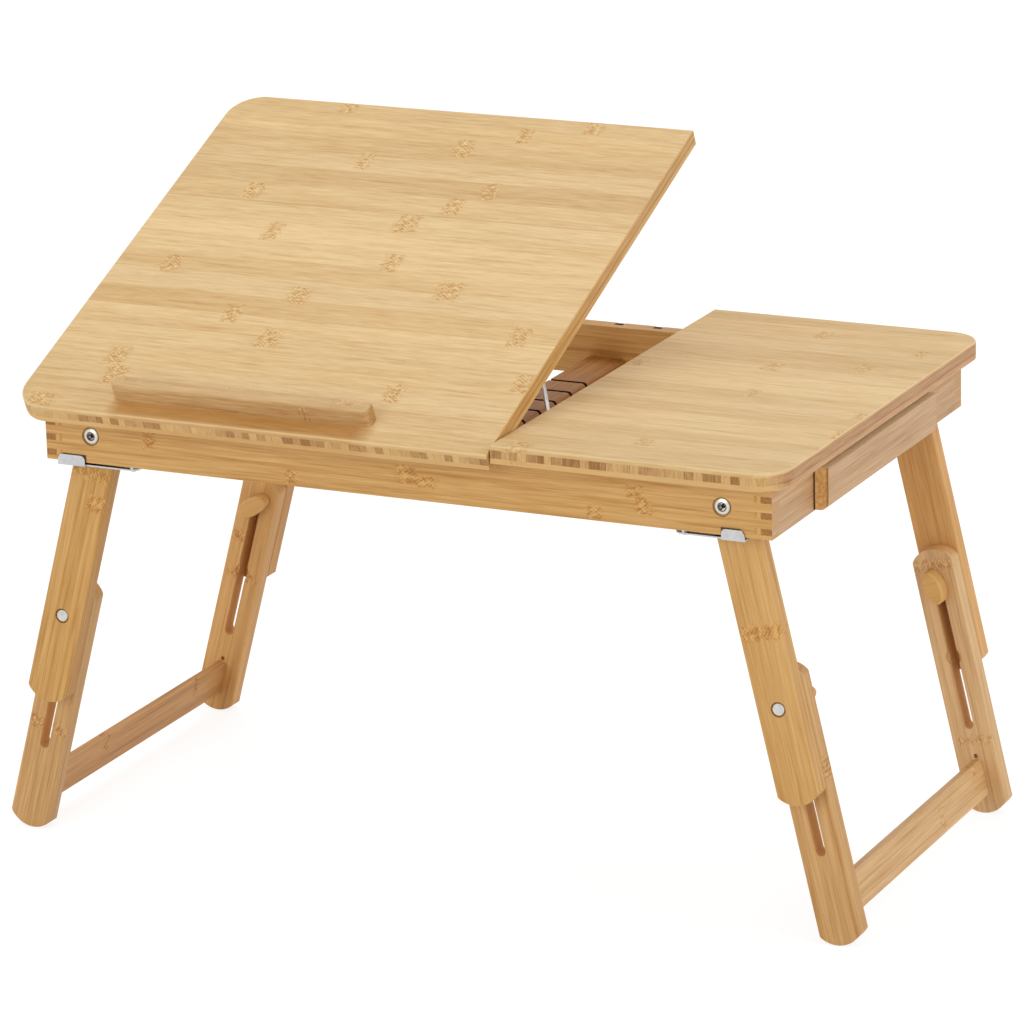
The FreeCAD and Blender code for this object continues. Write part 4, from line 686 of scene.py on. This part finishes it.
tray = (linear(226, 188, 134), linear(190, 142, 90))
finish_with(wood("drawer front bamboo", rail_foot, (0, 1, 0), (0, 0, 1), *shade_tan, strip=0.0145,
                 seed=41.0, strew=0.25, fibre=1.1, stain_and_painted_light=drawer_ends, end=0.0), "drawer_front")
finish_with(wood("tray bamboo", rail_foot, (1, 0, 0), (0, 0, 1), *tray, strip=0.011, seed=47.0),
            "drawer_side_front", "drawer_side_back", "drawer_guide_front", "drawer_guide_back")
finish_with(wood("tray cross bamboo", rail_foot, (0, 1, 0), (0, 0, 1), *tray, strip=0.011, seed=53.0),
            "drawer_inner_end", "drawer_bay_wall")
finish_with(wood("tray floor bamboo", rail_foot, (1, 0, 0), (0, 1, 0), *tray, strip=0.018, seed=59.0),
            "drawer_floor")


# ---- Legs -----------------------------------------------------------------------------------------------
# Four pairs of bamboo slats, each slat glued from three strips: the upper one turns on a bolt in the rail,
# and the lower one slides along it on a bolt in its slot. A stretcher joins the two lower slats of a side.

slat_strip = 0.0098
stretcher_strip = 0.0085
slot_reach = 0.0115
slot_foot = -0.262


def slot_wall_tint(tree, point, faces):
    """The walls of the slot and of its sunk seats are given one flat tan, with a rougher finish."""
    spot = apart(tree, point)
    near = ramp(tree, calc(tree, "ABSOLUTE", spot["Y"]), slot_reach, slot_reach - 0.0005)
    wall = calc(tree, "MAXIMUM", faces["Side"], faces["End"])
    above = times(tree, ramp(tree, spot["X"], slot_foot, slot_foot + 0.007), 0.9)
    return times(tree, near, wall, above), linear(220, 170, 110)


slats = {
    "left_upper_leg_front": ((220, 175, 108), (183, 130, 64), ((-31, 0, 13, 29), (-50, -8, 16, 14))),
    "left_lower_leg_front": ((219, 176, 118), (180, 131, 76), ((-225, 0, 13, 29),)),
    "left_upper_leg_back": ((214, 163, 100), (176, 120, 58), ()),
    "left_lower_leg_back": ((218, 169, 106), (182, 130, 70), ((-165, 8, 12, 12), (-195, 0, 8, 28))),
    "right_upper_leg_front": ((223, 178, 112), (186, 132, 66), ((-86.5, 0, 14, 30),)),
    "right_lower_leg_front": ((219, 175, 117), (180, 131, 74), ((-183, 14, 20, 5),)),
    "right_upper_leg_back": ((226, 175, 110), (190, 134, 68), ()),
    "right_lower_leg_back": ((229, 191, 140), (194, 149, 98), ((-123, 0, 11, 29), (-248, 2, 8, 26)))}
stretchers = {
    "left_stretcher": ((212, 162, 104), (172, 118, 64), ((82, -268, 10, 18), (-47, -268, 10, 18))),
    "right_stretcher": ((231, 191, 138), (197, 150, 94), ((109, -263, 9, 16), (45, -276, 9, 16)))}
for hand, side in (("left", -1), ("right", 1)):
    hip = joints[hand + "_fold"]["pos_m"]
    up = joints[hand + "_height"]["axis"]
    out = (side * up[2], 0, abs(up[0]))
    for count, node in enumerate(name for name in slats if name.startswith(hand)):
        pale, deep, spots = slats[node]
        seed = 61.5 + 7.3 * count + 40.0 * side
        slat = wood(node.replace("_", " ") + " bamboo", hip, up, out, linear(*pale), linear(*deep),
                    strip=slat_strip, seed=seed, spots=spots, strew=0.0, tone=0.28, fibre=1.15, end=0.25,
                    stain_and_painted_light=slot_wall_tint if "lower" in node else None)
        finish_with(slat, node)
    pale, deep, spots = stretchers[hand + "_stretcher"]
    finish_with(wood(hand + " stretcher bamboo", hip, (0, 1, 0), up, linear(*pale), linear(*deep),
                     strip=stretcher_strip, seed=83.0 + side, spots=spots, strew=0.0, tone=0.25, fibre=1.1),
                hand + "_stretcher")


# ---- Knobs ----------------------------------------------------------------------------------------------
# Oval grips shaped from close-grained bamboo, with a painted highlight on their rounded edges. Each holds a
# nut on the slot's bolt and clamps the lower slat to the upper one.

finish_with(wood("knob bamboo", (0, 0, 0), (1, 0, 0.4), (0, 0, 1), linear(222, 176, 108),
                 linear(198, 146, 80), strip=0.02, seed=91.0, strew=0.0, fibre=0.7, tone=0.2, end=0.0,
                 sheen=0.8),
            "knob_front_left", "knob_back_left", "knob_front_right", "knob_back_right")


# ---- Steel parts ----------------------------------------------------------------------------------------
# Bright nickel plate on the bolts, latches, wire prop, clips and their screws; duller zinc on the hinges,
# the sleeves in the legs and the nuts in the knobs. The pivot bolts' heads are turned, with a hexagon
# socket in the middle.

bolt_head = 0.0056
bolt_place = joints["right_fold"]["pos_m"]
# Painted shade and a painted highlight in the socket, a dark ring round it, the bright face, and painted
# shade at the rim.
bolt_rings_and_shade = (
    (0.0, (34, 30, 28)), (0.24, (44, 40, 36)), (0.30, (196, 192, 186)), (0.40, (206, 202, 196)),
    (0.46, (70, 62, 54)), (0.53, (84, 76, 66)), (0.60, (222, 216, 206)), (0.84, (208, 200, 188)),
    (0.93, (150, 136, 116)), (1.0, (84, 66, 48)))


def plated(name, colour, rough):
    """Plated steel, clouded a little, with its shine scuffed unevenly."""
    made, tree = blank_material(name)
    cloud = noise(tree, add(tree, "ShaderNodeTexCoord").outputs["Object"], 300.0, 3.0)[0]
    sheen = add(tree, "ShaderNodeMapRange", {"Value": cloud, "To Min": rough - 0.05, "To Max": rough + 0.07})
    tint = blend(tree, cloud, colour, linear(176, 176, 178))
    shader = add(tree, "ShaderNodeBsdfPrincipled", {"Base Color": tint, "Roughness": sheen.outputs[0],
                                                    "Metallic": 1.0})
    add(tree, "ShaderNodeOutputMaterial", {"Surface": shader.outputs[0]})
    return made


def bolt_face(name):
    """Turned bolt heads: rings about each pivot's axis, painted shade and a highlight in the hexagon socket
    in the middle, and painted shade at the rim.
    """
    made, tree = blank_material(name)
    spot = at_rest(tree)
    right = calc(tree, "SUBTRACT", calc(tree, "ABSOLUTE", spot["X"]), bolt_place[0])
    up = calc(tree, "SUBTRACT", spot["Z"], bolt_place[2])
    squares = [calc(tree, "POWER", way, 2.0) for way in (right, up)]
    reach = calc(tree, "SQRT", calc(tree, "ADD", *squares))
    rings = bands(tree, times(tree, reach, 1 / bolt_head),
                  [(place, linear(*tint)) for place, tint in bolt_rings_and_shade])
    shader = add(tree, "ShaderNodeBsdfPrincipled", {"Base Color": rings, "Roughness": 0.28,
                                                    "Metallic": 1.0})
    add(tree, "ShaderNodeOutputMaterial", {"Surface": shader.outputs[0]})
    return made


finish_with(bolt_face("pivot bolt plate"), "pivot_bolts")
finish_with(plated("disc plate", linear(228, 222, 212), 0.26), "left_slot_bolts", "right_slot_bolts")
finish_with(plated("bright plate", linear(216, 216, 216), 0.22), "latch_left", "latch_right",
            "latch_screws", "latch_washers", "bail_clips", "bail_clip_screws")
finish_with(plated("wire plate", linear(250, 250, 248), 0.42), "bail_wire")
finish_with(plated("zinc plate", linear(190, 190, 194), 0.36), "hinge_leaves_lower", "hinge_leaves_upper",
            "hinge_pins", "hinge_screws_lower", "hinge_screws_upper", "left_bushes", "right_bushes",
            "knob_nut_front_left", "knob_nut_back_left", "knob_nut_front_right", "knob_nut_back_right")
